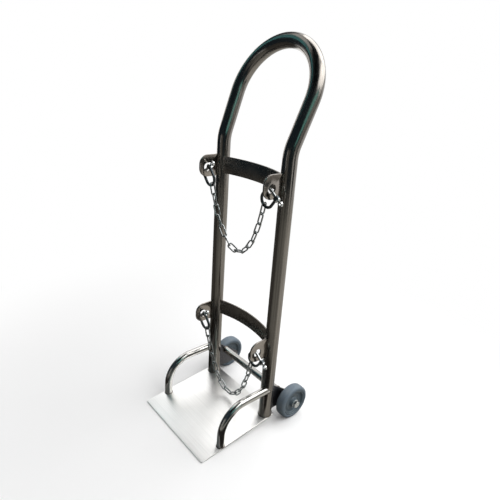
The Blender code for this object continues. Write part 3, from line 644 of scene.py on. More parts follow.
class CART_OT_frame_tube(bpy.types.Operator):
    """Bend the frame tube: both uprights and the looped handle in one"""
    bl_idname = "cart.frame_tube"
    bl_label = "Frame tube"

    UPRIGHT_STEPS = 4
    BEND_STEPS = 20
    LOOP_STEPS = 48

    def execute(self, context):
        sizes = context.scene.cart_frame
        side = sizes.spacing / 2
        rise = Vector((0, sin(sizes.lean), cos(sizes.lean)))
        leg = cos(sizes.splay) * rise - sin(sizes.splay) * RIGHT
        turn = acos(UP.dot(leg))
        inward = (leg - leg.dot(UP) * UP).normalized()
        bend = Vector((-side, 0, sizes.bend_height))
        half = [Vector((-side, 0, bend.z * i / self.UPRIGHT_STEPS)) for i in range(self.UPRIGHT_STEPS)]
        for i in range(self.BEND_STEPS + 1):
            angle = turn * i / self.BEND_STEPS
            half.append(bend + sizes.bend_radius * (sin(angle) * UP + (1 - cos(angle)) * inward))
        half.append(half[-1] + sizes.leg * leg)
        radius = -half[-1].x / cos(sizes.splay)
        middle = Vector((0, half[-1].y, half[-1].z)) + radius * sin(sizes.splay) * rise
        for i in range(1, self.LOOP_STEPS + 1):
            angle = -sizes.splay + (pi / 2 + sizes.splay) * i / self.LOOP_STEPS
            half.append(middle + radius * (sin(angle) * rise - cos(angle) * RIGHT))
        path = half + [Vector((-point.x, point.y, point.z)) for point in half[-2::-1]]
        path = [point + uprights_y(sizes) * REAR for point in path]
        shape = bmesh.new()
        seat = on_plate(sizes)
        add_tube(shape, path, sizes.tube, TUBE_SIDES, RIGHT, seat, seat)
        # Painted shade: this colour is darker than the guards' tubes of the same steel, for the dim room that
        # the frame tube mirrors.
        colour = context.scene.cart_colours.tube
        steel = polished_tube_steel("polished stainless tube", colour, roughness=0.17)
        new_piece("bent_tube", shape, steel, "frame", "frame_tube", ["frame_tube"])
        return {"FINISHED"}


class CART_OT_foot_plate(bpy.types.Operator):
    """Lay the sloping foot plate with its worn edges"""
    bl_idname = "cart.foot_plate"
    bl_label = "Foot plate"

    CORNER_STEPS = 8

    def execute(self, context):
        sizes = context.scene.cart_frame
        slope = sizes.plate_slope
        length = (sizes.plate_front + sizes.tube / 2 + sizes.plate_overhang) / cos(slope)
        half = sizes.spacing / 2 + sizes.tube / 2 + sizes.plate_margin
        front = Matrix.Translation((0, uprights_y(sizes) - sizes.plate_front, 0))
        tilt = front @ Matrix.Rotation(slope, 4, "X")
        levels = list(worn_steps(sizes.worn_edge))
        levels += [(sizes.plate_thickness - depth, inset) for depth, inset in levels[::-1]]
        rings = []
        for level, inset in levels:
            ring = rounded_oblong((0, length / 2), half - inset, length / 2 - inset,
                                  sizes.plate_corner - inset, self.CORNER_STEPS)
            rings.append([tilt @ Vector((across, along, level)) for across, along in ring])
        shape = bmesh.new()
        add_loft(shape, rings)
        steel = brushed_sheet_steel(context.scene.cart_colours.plate)
        new_piece("sheet_plate", shape, steel, "frame", "foot_plate", ["foot_plate"])
        return {"FINISHED"}


class CART_OT_side_guards(bpy.types.Operator):
    """Bend the two guard tubes beside the foot plate"""
    bl_idname = "cart.side_guards"
    bl_label = "Side guards"

    BEND_STEPS = 24

    def execute(self, context):
        sizes = context.scene.cart_frame
        colour = context.scene.cart_colours.guard
        steel = polished_tube_steel("polished stainless guard tube", colour, roughness=0.15)
        axis_y = uprights_y(sizes)
        front = axis_y - sizes.guard_front
        for word, side in SIDES.items():
            x = side * guard_x(sizes)
            path = [Vector((x, front, plate_top(sizes, front)))]
            for i in range(self.BEND_STEPS + 1):
                angle = (pi / 2) * i / self.BEND_STEPS
                y = front + sizes.guard_bend * (1 - cos(angle))
                z = sizes.guard_height - sizes.guard_bend * (1 - sin(angle))
                path.append(Vector((x, y, z)))
            path.append(Vector((x, axis_y - sizes.tube / 2, sizes.guard_height)))
            shape = bmesh.new()
            add_tube(shape, path, sizes.guard, SLIM_TUBE_SIDES, RIGHT, on_plate(sizes),
                     on_upright_front(sizes))
            node = "side_guard_" + word
            new_piece("guard_tube_" + word, shape, steel, "frame", "side_guard", [node])
        return {"FINISHED"}


class CART_OT_back_bands(bpy.types.Operator):
    """Roll the two flat bars that back the cylinder"""
    bl_idname = "cart.back_bands"
    bl_label = "Back bands"

    HALF_STEPS = 24
    CORNER_STEPS = 3
    HALVINGS = 40

    def execute(self, context):
        sizes = context.scene.cart_frame
        steel = rolled_bar_steel("rolled stainless bar", context.scene.cart_colours.band, roughness=0.25)
        axis_y = uprights_y(sizes)
        chord = sizes.spacing / 2 - sizes.tube / 2
        radius = (chord ** 2 + sizes.band_rise ** 2) / (2 * sizes.band_rise)
        section = rounded_oblong((0, 0), sizes.band_thickness / 2, sizes.band_height / 2, sizes.worn_edge,
                                 self.CORNER_STEPS)
        levels = ((sizes.upper_band, sizes.upper_forward), (sizes.lower_band, sizes.lower_forward))
        for word, (level, forward) in zip(LEVELS, levels):
            centre_y = -forward + sizes.band_rise - radius
            columns = []
            for offset, height in section:
                span = self.end_angle(sizes, radius + offset, centre_y)
                column = []
                for i in range(2 * self.HALF_STEPS + 1):
                    angle = span * (i / self.HALF_STEPS - 1)
                    across = (radius + offset) * sin(angle)
                    along = axis_y + centre_y + (radius + offset) * cos(angle)
                    column.append(Vector((across, along, level + height)))
                columns.append(column)
            shape = bmesh.new()
            add_loft(shape, list(zip(*columns)))
            new_piece("curved_bar_" + word, shape, steel, "frame", "back_band", ["back_band_" + word])
        return {"FINISHED"}

    def end_angle(self, sizes, radius, centre_y):
        """Angle at which an arc meets the round inner side of an upright, found by halving."""
        side = sizes.spacing / 2
        low = 0.0
        high = asin(side / radius)
        for _ in range(self.HALVINGS):
            angle = (low + high) / 2
            gap = hypot(side - radius * sin(angle), centre_y + radius * cos(angle)) - sizes.tube / 2
            if gap > 0:
                low = angle
            else:
                high = angle
        return low


class CART_OT_chain_lugs(bpy.types.Operator):
    """Cut the four chain lugs with their holes"""
    bl_idname = "cart.chain_lugs"
    bl_label = "Chain lugs"

    CORNER_STEPS = 14

    def execute(self, context):
        sizes = context.scene.cart_frame
        steel = rolled_bar_steel("cut stainless lug", context.scene.cart_colours.lug, roughness=0.17)
        front = -sizes.lug_hole_edge
        top = sizes.lug_hole_drop
        corner = sizes.lug_corner
        for level in LEVELS:
            for word in SIDES:
                node = f"{level}_chain_lug_{word}"
                low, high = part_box(node)
                centre = Vector(((low.x + high.x) / 2, low.y - front, high.z - top))
                bottom = low.z - centre.z
                back = high.y - centre.y
                outline = arc_points((front + corner, top - corner), corner, pi / 2, pi, self.CORNER_STEPS)
                outline += arc_points((front + corner, bottom + corner), corner, pi, 3 * pi / 2,
                                      self.CORNER_STEPS)
                outline += [(back, bottom), (back, top)]
                shape = bmesh.new()
                add_pierced_plate(shape, outline, sizes.lug_hole / 2, sizes.lug_thickness, sizes.worn_edge,
                                  centre)
                new_piece(f"{level}_lug_plate_{word}", shape, steel, "frame", "chain_lug", [node])
        return {"FINISHED"}


class CART_OT_wheel_brackets(bpy.types.Operator):
    """Cut the two gusset plates that carry the axles"""
    bl_idname = "cart.wheel_brackets"
    bl_label = "Wheel brackets"

    NOSE_STEPS = 30

    def execute(self, context):
        sizes = context.scene.cart_frame
        wheel = context.scene.cart_wheel
        steel = rolled_bar_steel("cut stainless bracket", context.scene.cart_colours.bracket, roughness=0.30)
        nose = sizes.bracket_nose
        for word in SIDES:
            node = "wheel_bracket_" + word
            low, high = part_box(node)
            centre = Vector(((low.x + high.x) / 2, high.y - nose, wheel.diameter / 2))
            front = low.y - centre.y
            top = high.z - centre.z
            bottom = low.z - centre.z
            # The nose runs between the two lines that touch it from the bracket's front corners.
            start = atan2(bottom, front) + acos(nose / hypot(front, bottom))
            end = atan2(top, front) - acos(nose / hypot(front, top))
            outline = arc_points((0, 0), nose, start % (2 * pi) - 2 * pi, end, self.NOSE_STEPS)
            outline += [(front, top), (front, bottom)]
            shape = bmesh.new()
            hole = wheel.axle / 2 + wheel.fit
            add_pierced_plate(shape, outline, hole, sizes.bracket_thickness, sizes.worn_edge, centre)
            new_piece("gusset_plate_" + word, shape, steel, "frame", "wheel_bracket", [node])
        return {"FINISHED"}


class CART_OT_cross_tube(bpy.types.Operator):
    """Set the tube between the wheel brackets"""
    bl_idname = "cart.cross_tube"
    bl_label = "Cross tube"

    STEPS = 8

    def execute(self, context):
        sizes = context.scene.cart_frame
        low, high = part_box("cross_tube")
        y = uprights_y(sizes) + sizes.cross_back
        path = [Vector((low.x + (high.x - low.x) * i / self.STEPS, y, sizes.cross_level))
                for i in range(self.STEPS + 1)]
        shape = bmesh.new()
        # Both ends stay square, so their points are only copied.
        add_tube(shape, path, sizes.cross, SLIM_TUBE_SIDES, UP, Vector, Vector)
        colour = context.scene.cart_colours.guard
        steel = polished_tube_steel("polished stainless cross tube", colour, roughness=0.15)
        new_piece("cross_bar_tube", shape, steel, "frame", "frame_tube", ["cross_tube"])
        return {"FINISHED"}


class CART_OT_welds(bpy.types.Operator):
    """Lay the weld beads of the frame"""
    bl_idname = "cart.welds"
    bl_label = "Weld beads"

    FOOT_SIDES = 48
    ARM_SIDES = 40
    # How far a guard's bead is held inside an upright's outer side, and what still counts as touching one.
    HELD_IN = 0.0003
    TOUCH = 0.0006

    def execute(self, context):
        sizes = context.scene.cart_frame
        colours = context.scene.cart_colours
        steel = weld_steel(colours.weld, colours.heat)
        groups = (("foot_welds", self.foot_welds, "frame_tube"),
                  ("guard_welds", self.guard_welds, "side_guard"),
                  ("lug_welds", self.lug_welds, "chain_lug"),
                  ("band_welds", self.band_welds, "back_band"),
                  ("bracket_welds", self.bracket_welds, "wheel_bracket"))
        for name, lay, slot in groups:
            shape = bmesh.new()
            lay(shape, sizes)
            new_piece(name, shape, steel, "frame", slot)
        return {"FINISHED"}

    def foot_welds(self, shape, sizes):
        """Round the feet of the uprights and of the guards, held on the plate."""
        axis_y = uprights_y(sizes)
        inside = 0.4 * sizes.weld
        limit = sizes.spacing / 2 + sizes.tube / 2 + sizes.plate_margin - inside
        rear = axis_y + sizes.tube / 2 + sizes.plate_overhang - inside
        feet = ((sizes.spacing / 2, axis_y, sizes.tube / 2),
                (guard_x(sizes), axis_y - sizes.guard_front, sizes.guard / 2))
        seat = on_plate(sizes)
        for side in SIDES.values():
            for x, y, radius in feet:
                ring = circle(Vector((side * x, y, 0)), RIGHT, REAR, radius, self.FOOT_SIDES)
                path = [seat(Vector((held_within(point.x, limit), min(rear, point.y), 0))) for point in ring]
                add_weld(shape, path, UP, sizes)

    def guard_welds(self, shape, sizes):
        """Round the guards' arms where they meet the uprights."""
        seat = on_upright_front(sizes)
        limit = sizes.spacing / 2 + sizes.tube / 2 - self.HELD_IN
        for side in SIDES.values():
            centre = Vector((side * guard_x(sizes), 0, sizes.guard_height))
            ring = circle(centre, RIGHT, UP, sizes.guard / 2, self.ARM_SIDES)
            path = [seat(Vector((held_within(point.x, limit), 0, point.z))) for point in ring]
            add_weld(shape, path, REAR, sizes)

    def lug_welds(self, shape, sizes):
        """Down both sides of every lug's root."""
        seat = on_upright_front(sizes)
        for level in LEVELS:
            for word in SIDES:
                low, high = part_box(f"{level}_chain_lug_{word}")
                for x in (low.x, high.x):
                    path = [seat(point) for point in root_line(x, 0, low, high)]
                    add_weld(shape, path, REAR, sizes, closed=False)

    def band_welds(self, shape, sizes):
        """Down the front and the rear of both ends of each band."""
        axis_y = uprights_y(sizes)
        side_x = sizes.spacing / 2
        near = sizes.tube / 2 + self.TOUCH
        for level in LEVELS:
            node = "back_band_" + level
            points = [vertex.co for vertex in frame["nodes"][node].data.vertices]
            low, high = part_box(node)
            for side in SIDES.values():
                ends = [p.y for p in points if hypot(p.x - side * side_x, p.y - axis_y) < near]
                for y in (min(ends), max(ends)):
                    depth = sqrt(max(0.0, (sizes.tube / 2) ** 2 - (y - axis_y) ** 2))
                    path = root_line(side * (side_x - depth), y, low, high)
                    add_weld(shape, path, RIGHT, sizes, closed=False)

    def bracket_welds(self, shape, sizes):
        """Down both sides of the brackets' roots, and round the ends of the cross tube."""
        axis_y = uprights_y(sizes)
        for word, side in SIDES.items():
            low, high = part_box("wheel_bracket_" + word)
            for x in (low.x, high.x):
                across = abs(x) - sizes.spacing / 2
                y = axis_y + sqrt((sizes.tube / 2) ** 2 - across ** 2)
                add_weld(shape, root_line(x, y, low, high), REAR, sizes, closed=False)
            inner = high.x if side < 0 else low.x
            centre = Vector((inner, axis_y + sizes.cross_back, sizes.cross_level))
            add_weld(shape, circle(centre, REAR, UP, sizes.cross / 2, self.ARM_SIDES), RIGHT, sizes)


class CART_OT_wheels(bpy.types.Operator):
    """Mould the tyres and the wheel centres"""
    bl_idname = "cart.wheels"
    bl_label = "Wheels"

    SIDES_ROUND = 112

    def execute(self, context):
        wheel = context.scene.cart_wheel
        colours = context.scene.cart_colours
        rubber = moulded_rubber(colours.tyre, colours.dust)
        plastic = moulded_hub_plastic(colours.hub)
        parts = (("rubber_tyre_", self.tyre_face(wheel), rubber, "tyre"),
                 ("wheel_centre_", self.hub_face(wheel), plastic, "wheel_hub"))
        for word in SIDES:
            for name, face, material, slot in parts:
                profile = face + [(-x, radius) for x, radius in face[::-1]]
                shape = bmesh.new()
                add_turned(shape, profile, JOINT_PLACES[word + "_wheel_spin"], self.SIDES_ROUND)
                node = f"{slot}_{word}"
                new_piece(name + word, shape, material, word + "_wheel", slot, [node], sharp=50)
        return {"FINISHED"}

    @staticmethod
    def tyre_face(wheel):
        """(x, radius) down half a tyre, from its seat to the mould's parting line in the tread."""
        half = wheel.width / 2
        radius = wheel.diameter / 2
        seat = radius - wheel.tyre + wheel.fit
        inside = half - wheel.recess
        shoulder = radius - wheel.shoulder
        lip = [(inside, seat), (inside + 0.0008, seat + 0.0003), (half - 0.0002, seat + 0.0008)]
        lip += [(half, seat + 0.0014), (half, shoulder - 0.0006)]
        # The shoulder stops short of a quarter turn, where the tread's slight crown takes over.
        rounded = arc_points((half - wheel.shoulder, shoulder), wheel.shoulder, 0, 0.42 * pi, 9)
        tread = [(0.0040, radius - 0.0002), (0.0012, radius), (0.0006, radius), (0.0003, radius + 0.00025)]
        return lip + rounded + tread

    @staticmethod
    def hub_face(wheel):
        """(x, radius) up half a wheel centre: boss, web with a raised ring, and rim, with moulded rounds."""
        bore = wheel.axle / 2 + wheel.fit
        rim = wheel.diameter / 2 - wheel.tyre
        rim_half = wheel.width / 2 - wheel.recess
        inner = rim - wheel.rim
        boss = wheel.boss / 2
        boss_half = wheel.width / 2 + wheel.proud
        web = wheel.web / 2
        middle = (inner + boss) / 2
        boss_round = 0.0012
        face = [(boss_half, bore), (boss_half, boss - 0.0016)]
        face += arc_points((boss_half - boss_round, boss - boss_round), boss_round, 0, pi / 2, 4)[1:]
        face += [(web + 0.002, boss + 0.0004), (web + 0.0006, boss + 0.001), (web, boss + 0.0026)]
        face += [(web, middle - 0.0022), (web + 0.0009, middle - 0.0014), (web + 0.0009, middle + 0.0014)]
        face += [(web, middle + 0.0022), (web, inner - 0.0028), (web + 0.0007, inner - 0.001)]
        face += [(web + 0.0022, inner - 0.0003), (rim_half - 0.0008, inner)]
        face += [(rim_half - 0.0002, inner + 0.0003), (rim_half, inner + 0.0009), (rim_half, rim - 0.0007)]
        return face + [(rim_half - 0.0006, rim)]


class CART_OT_axle_bolts(bpy.types.Operator):
    """Fit the axle bolts, nuts and spacers"""
    bl_idname = "cart.axle_bolts"
    bl_label = "Axle bolts"

    SIDES_ROUND = 48
    # Shares of the width across flats: radius of the washer face, of the hexagon's corners and of its end.
    WASHER, CORNER, END = 0.60, 0.575, 0.44
    CORNER_CUT = 0.0014
    CHAMFER = 0.0005

    def execute(self, context):
        wheel = context.scene.cart_wheel
        zinc = zinc_plate("bright zinc-plated bolt", context.scene.cart_colours.pin, roughness=0.24)
        bore = wheel.axle / 2 + wheel.fit
        for word, side in SIDES.items():
            hub = JOINT_PLACES[word + "_wheel_spin"]
            low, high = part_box("wheel_bracket_" + word)
            inside = min(abs(low.x), abs(high.x)) - wheel.fit
            face = abs(hub.x) + wheel.width / 2 + wheel.proud + wheel.fit
            parts = (("hex_bolt_", "axle_bolt_", self.bolt_rows(wheel, inside, face), False),
                     ("hex_nut_", "axle_nut_", self.nut_rows(wheel, inside, bore), True))
            for name, node, rows, closed in parts:
                shape = bmesh.new()
                rings = [[Vector((side * p.x, p.y + hub.y, p.z + hub.z)) for p in row] for row in rows]
                add_loft(shape, rings, closed)
                new_piece(name + word, shape, zinc, "frame", "axle_bolt", [node + word], sharp=30)
            node = "axle_spacer_" + word
            low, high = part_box(node)
            half = (high.x - low.x) / 2
            outside = wheel.spacer_diameter / 2
            profile = [(-half, bore), (-half, outside - self.CHAMFER), (self.CHAMFER - half, outside)]
            profile += [(-x, radius) for x, radius in profile[::-1]]
            shape = bmesh.new()
            add_turned(shape, profile, Vector(((low.x + high.x) / 2, hub.y, hub.z)), self.SIDES_ROUND)
            new_piece("spacer_tube_" + word, shape, zinc, "frame", "axle_bolt", [node], sharp=30)
        return {"FINISHED"}

    def bolt_rows(self, wheel, inside, face):
        """From the bolt's end past the nut to its head, which bears on the wheel centre at face."""
        radius = wheel.axle / 2
        end = inside - wheel.nut - wheel.thread
        top = face + wheel.head
        washer = wheel.hex * self.WASHER
        rows = [self.round_row(end, radius * 0.78), self.round_row(end + 0.0012, radius)]
        rows += [self.round_row(face, radius), self.round_row(face, washer)]
        rows += [self.round_row(face + 0.0012, washer), self.round_row(face + 0.0016, wheel.hex * 0.585)]
        rows += [self.hex_row(face + 0.0017, wheel.hex), self.hex_row(top - 0.0016, wheel.hex)]
        rows += [self.hex_row(top - 0.0004, wheel.hex, self.CORNER_CUT)]
        return rows + [self.round_row(top, wheel.hex * self.END)]

    def nut_rows(self, wheel, inside, bore):
        """From the nut's washer face against the bracket to its countersunk end."""
        washer = wheel.hex * self.WASHER
        top = inside - wheel.nut
        rows = [self.round_row(inside, bore), self.round_row(inside, washer)]
        rows += [self.round_row(inside - 0.0014, washer), self.hex_row(inside - 0.0016, wheel.hex)]
        rows += [self.hex_row(top + 0.0014, wheel.hex)]
        rows += [self.hex_row(top + 0.0003, wheel.hex, self.CORNER_CUT)]
        rows += [self.round_row(top, wheel.hex * self.END), self.round_row(top, bore + 0.0006)]
        return rows + [self.round_row(top + 0.0006, bore)]

    def round_row(self, x, radius):
        return circle(Vector((x, 0, 0)), REAR, UP, radius, self.SIDES_ROUND)

    def hex_row(self, x, across, cut=0.0):
        """A hexagon square to X, its corners held within a round that cut makes smaller."""
        points = []
        for i in range(self.SIDES_ROUND):
            angle = 2 * pi * i / self.SIDES_ROUND
            off_flat = (angle + pi / 6) % (pi / 3) - pi / 6
            radius = min(across / 2 / cos(off_flat), across * self.CORNER - cut)
            points.append(Vector((x, radius * cos(angle), radius * sin(angle))))
        return points


class CART_OT_shackles(bpy.types.Operator):
    """Forge the four shackles: bows and screw pins"""
    bl_idname = "cart.shackles"
    bl_label = "Shackles"

    ROD_SIDES = 18
    EYE_STEPS = 32
    TURN_STEPS = 28
    EYE_PLAY = 0.0006
    COLLAR_PLAY = 0.0003
    GROOVES = 4

    def execute(self, context):
        sizes = context.scene.cart_chain
        lug = context.scene.cart_frame
        colours = context.scene.cart_colours
        dull = zinc_plate("zinc-plated forged bow", colours.bow, roughness=0.30)
        bright = zinc_plate("bright zinc-plated pin", colours.pin, roughness=0.22)
        parts = (("forged_bow", self.add_bow, dull, "shackle_bow"),
                 ("screw_pin", self.add_pin, bright, "shackle_pin"))
        for level in LEVELS:
            pivot = JOINT_PLACES[level + "_chain_swing"]
            hang = Matrix.Translation(pivot) @ Matrix.Rotation(sizes.swing, 4, "X")
            for word, side in SIDES.items():
                place = hang @ self.place_on_lug(sizes, lug, side)
                for name, add_shape, material, slot in parts:
                    shape = bmesh.new()
                    add_shape(shape, sizes)
                    shape.transform(place)
                    piece = new_piece(f"{level}_{name}_{word}", shape, material, level + "_chain", slot,
                                      [f"{level}_{slot}_{word}"])
                    rounding = piece.modifiers.new("forged edges", "BEVEL")
                    rounding.width = 0.0007
                    rounding.segments = 3
                    rounding.limit_method = "ANGLE"
                    rounding.angle_limit = radians(50)
        return {"FINISHED"}

    @staticmethod
    def place_on_lug(sizes, lug, side):
        """A shackle's transform about its pin, from the axis on which the chain swings.

        It has slid down the tilted pin until its upper eye meets the lug, or until its lower leg clears it.
        """
        tilt = Matrix.Rotation(side * sizes.tilt, 4, "Y")
        low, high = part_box("upper_chain_lug_right")
        drop = high.z - lug.lug_hole_drop - JOINT_PLACES["upper_chain_swing"].z
        below = (high.z - low.z) - lug.lug_hole_drop - drop
        reach_out = max(below, lug.lug_hole_edge)
        edge = lug.lug_thickness / 2 * cos(sizes.tilt) + reach_out * sin(sizes.tilt)
        face = lug.lug_thickness / 2 / cos(sizes.tilt) + sizes.eye / 2 * tan(sizes.tilt)
        half = sizes.bow_width / 2
        shift = max(edge + sizes.play - half, half - face - sizes.play)
        centre = Vector((side * lug.spacing / 2, 0, 0)) + side * shift * (tilt @ RIGHT)
        return Matrix.Translation(centre) @ tilt

    def rod_row(self, shape, centre, axis, across, radius):
        """A rod's ring whose first half faces along axis and whose second half faces away from it."""
        row = []
        for i in range(self.ROD_SIDES):
            angle = 2 * pi * (i + 0.5) / self.ROD_SIDES - pi / 2
            row.append(shape.verts.new(centre + radius * (cos(angle) * axis + sin(angle) * across)))
        return row

    def add_eye(self, shape, centre, axis, across, toward_rod, diameter, hole, thickness):
        """Add a flat eye with a hole along axis; return the loop of vertices where the rod joins it."""
        rows = []
        for radius, half in ((diameter / 2, 1), (diameter / 2, -1), (hole / 2, -1), (hole / 2, 1)):
            ring = circle(centre, toward_rod, across, radius, self.EYE_STEPS)
            rows.append([shape.verts.new(point + half * thickness / 2 * axis) for point in ring])
        bridge_rows(shape, rows[1:] + rows[:1])
        width = self.ROD_SIDES // 4
        for i in range(width, self.EYE_STEPS - width):
            j = (i + 1) % self.EYE_STEPS
            shape.faces.new((rows[0][i], rows[0][j], rows[1][j], rows[1][i]))
        span = range(-width, width + 1)
        return [rows[0][i] for i in span] + [rows[1][i] for i in reversed(span)]

    def add_bow(self, shape, sizes):
        """An eye at each end of a U of round rod."""
        leg = sizes.bow_width / 2 + sizes.eye_thickness / 2
        turn = Vector((0, 0, leg - sizes.bow_length - sizes.bow / 2))
        neck = -sizes.eye / 2 - sizes.bow / 3
        path = [(Vector((-leg, 0, neck)), RIGHT)]
        for i in range(self.TURN_STEPS + 1):
            angle = pi * i / self.TURN_STEPS
            inward = Vector((cos(angle), 0, sin(angle)))
            path.append((turn - leg * inward, inward))
        path.append((Vector((leg, 0, neck)), -RIGHT))
        rows = [self.rod_row(shape, centre, inward, REAR, sizes.bow / 2) for centre, inward in path]
        bridge_rows(shape, rows)
        for side, row in ((-1, rows[0]), (1, rows[-1])):
            loop = self.add_eye(shape, Vector((side * leg, 0, 0)), -side * RIGHT, REAR, -UP,
                                sizes.eye, sizes.pin + self.EYE_PLAY, sizes.eye_thickness)
            bridge(shape, loop, row)

    def add_pin(self, shape, sizes):
        """A screw pin: grooved tip, collar against the bow's eye and a flat eye to turn it."""
        outside = sizes.bow_width / 2 + sizes.eye_thickness
        collar = outside + self.COLLAR_PLAY
        collar_end = collar + sizes.collar_length
        neck_end = collar_end + sizes.neck
        radius = sizes.pin / 2
        neck = sizes.pin_eye_thickness / 2
        steps = [(-outside - sizes.tip, radius * 0.8)]
        # The grooves of the thread lie a quarter of the tip apart.
        for i in range(self.GROOVES):
            x = -outside - sizes.tip * (0.78 - 0.25 * i)
            steps += [(x, radius), (x + sizes.tip * 0.12, radius * 0.9)]
        steps += [(-outside, radius), (collar, radius), (collar, sizes.collar / 2)]
        steps += [(collar_end, sizes.collar / 2), (collar_end, neck), (neck_end, neck)]
        rows = [self.rod_row(shape, Vector((x, 0, 0)), REAR, UP, ring) for x, ring in steps]
        bridge_rows(shape, rows)
        shape.faces.new(rows[0])
        loop = self.add_eye(shape, Vector((neck_end + sizes.pin_eye / 2, 0, 0)), REAR, UP, -RIGHT,
                            sizes.pin_eye, sizes.pin_eye_hole, sizes.pin_eye_thickness)
        bridge(shape, rows[-1], loop)


class CART_OT_chains(bpy.types.Operator):
    """Bend and weld the links of the two chains"""
    bl_idname = "cart.chains"
    bl_label = "Chains"

    WIRE_SIDES = 14
    TURN_STEPS = 14
    # Half of a link's butt weld: distance from its middle, and how far it swells the wire.
    BUTT_WELD = ((0.0022, 1.0), (0.0014, 1.10), (0.0005, 1.14))

    def execute(self, context):
        sizes = context.scene.cart_chain
        zinc = zinc_plate("zinc-plated welded link", context.scene.cart_colours.link, roughness=0.12)
        for level in LEVELS:
            nodes = sorted(name for name in frame["nodes"] if name.startswith(level + "_chain_link_"))
            if not nodes:
                raise RuntimeError(f"the frame has no links in its {level} chain")
            shape = bmesh.new()
            for node in nodes:
                self.add_link(shape, sizes, self.link_place(node))
            new_piece(level + "_welded_links", shape, zinc, level + "_chain", "chain_link", nodes, sharp=60)
        return {"FINISHED"}

    @staticmethod
    def link_place(node):
        """A link's transform: its long way, its wide way and its middle, from its node."""
        points = np.array([vertex.co for vertex in frame["nodes"][node].data.vertices])
        points = np.unique(np.round(points, 6), axis=0)
        middle = points.mean(axis=0)
        ways = np.linalg.eigh(np.cov((points - middle).T))[1]
        along = Vector(ways[:, 2])
        wide = Vector(ways[:, 1])
        turn = Matrix((along, wide, along.cross(wide))).transposed().to_4x4()
        return Matrix.Translation(Vector(middle)) @ turn

    def add_link(self, shape, sizes, place):
        """A link of round wire, closed by a butt weld that stands a little proud on one side."""
        turn = (sizes.link_width + sizes.wire) / 2
        straight = sizes.link_length / 2 - sizes.link_width / 2
        bead = [*self.BUTT_WELD, *((-x, girth) for x, girth in self.BUTT_WELD[::-1])]
        path = []
        for way in (1, -1):
            for i in range(self.TURN_STEPS + 1):
                angle = pi * i / self.TURN_STEPS - pi / 2
                outward = way * Vector((cos(angle), sin(angle), 0))
                path.append((Vector((way * straight, 0, 0)) + turn * outward, outward, 1.0))
            if way > 0:
                path += [(Vector((x, turn, 0)), REAR, girth) for x, girth in bead]
        rings = []
        for centre, outward, girth in path:
            ring = circle(centre, outward, UP, girth * sizes.wire / 2, self.WIRE_SIDES)
            rings.append([place @ point for point in ring])
        add_loft(shape, rings, closed=True)


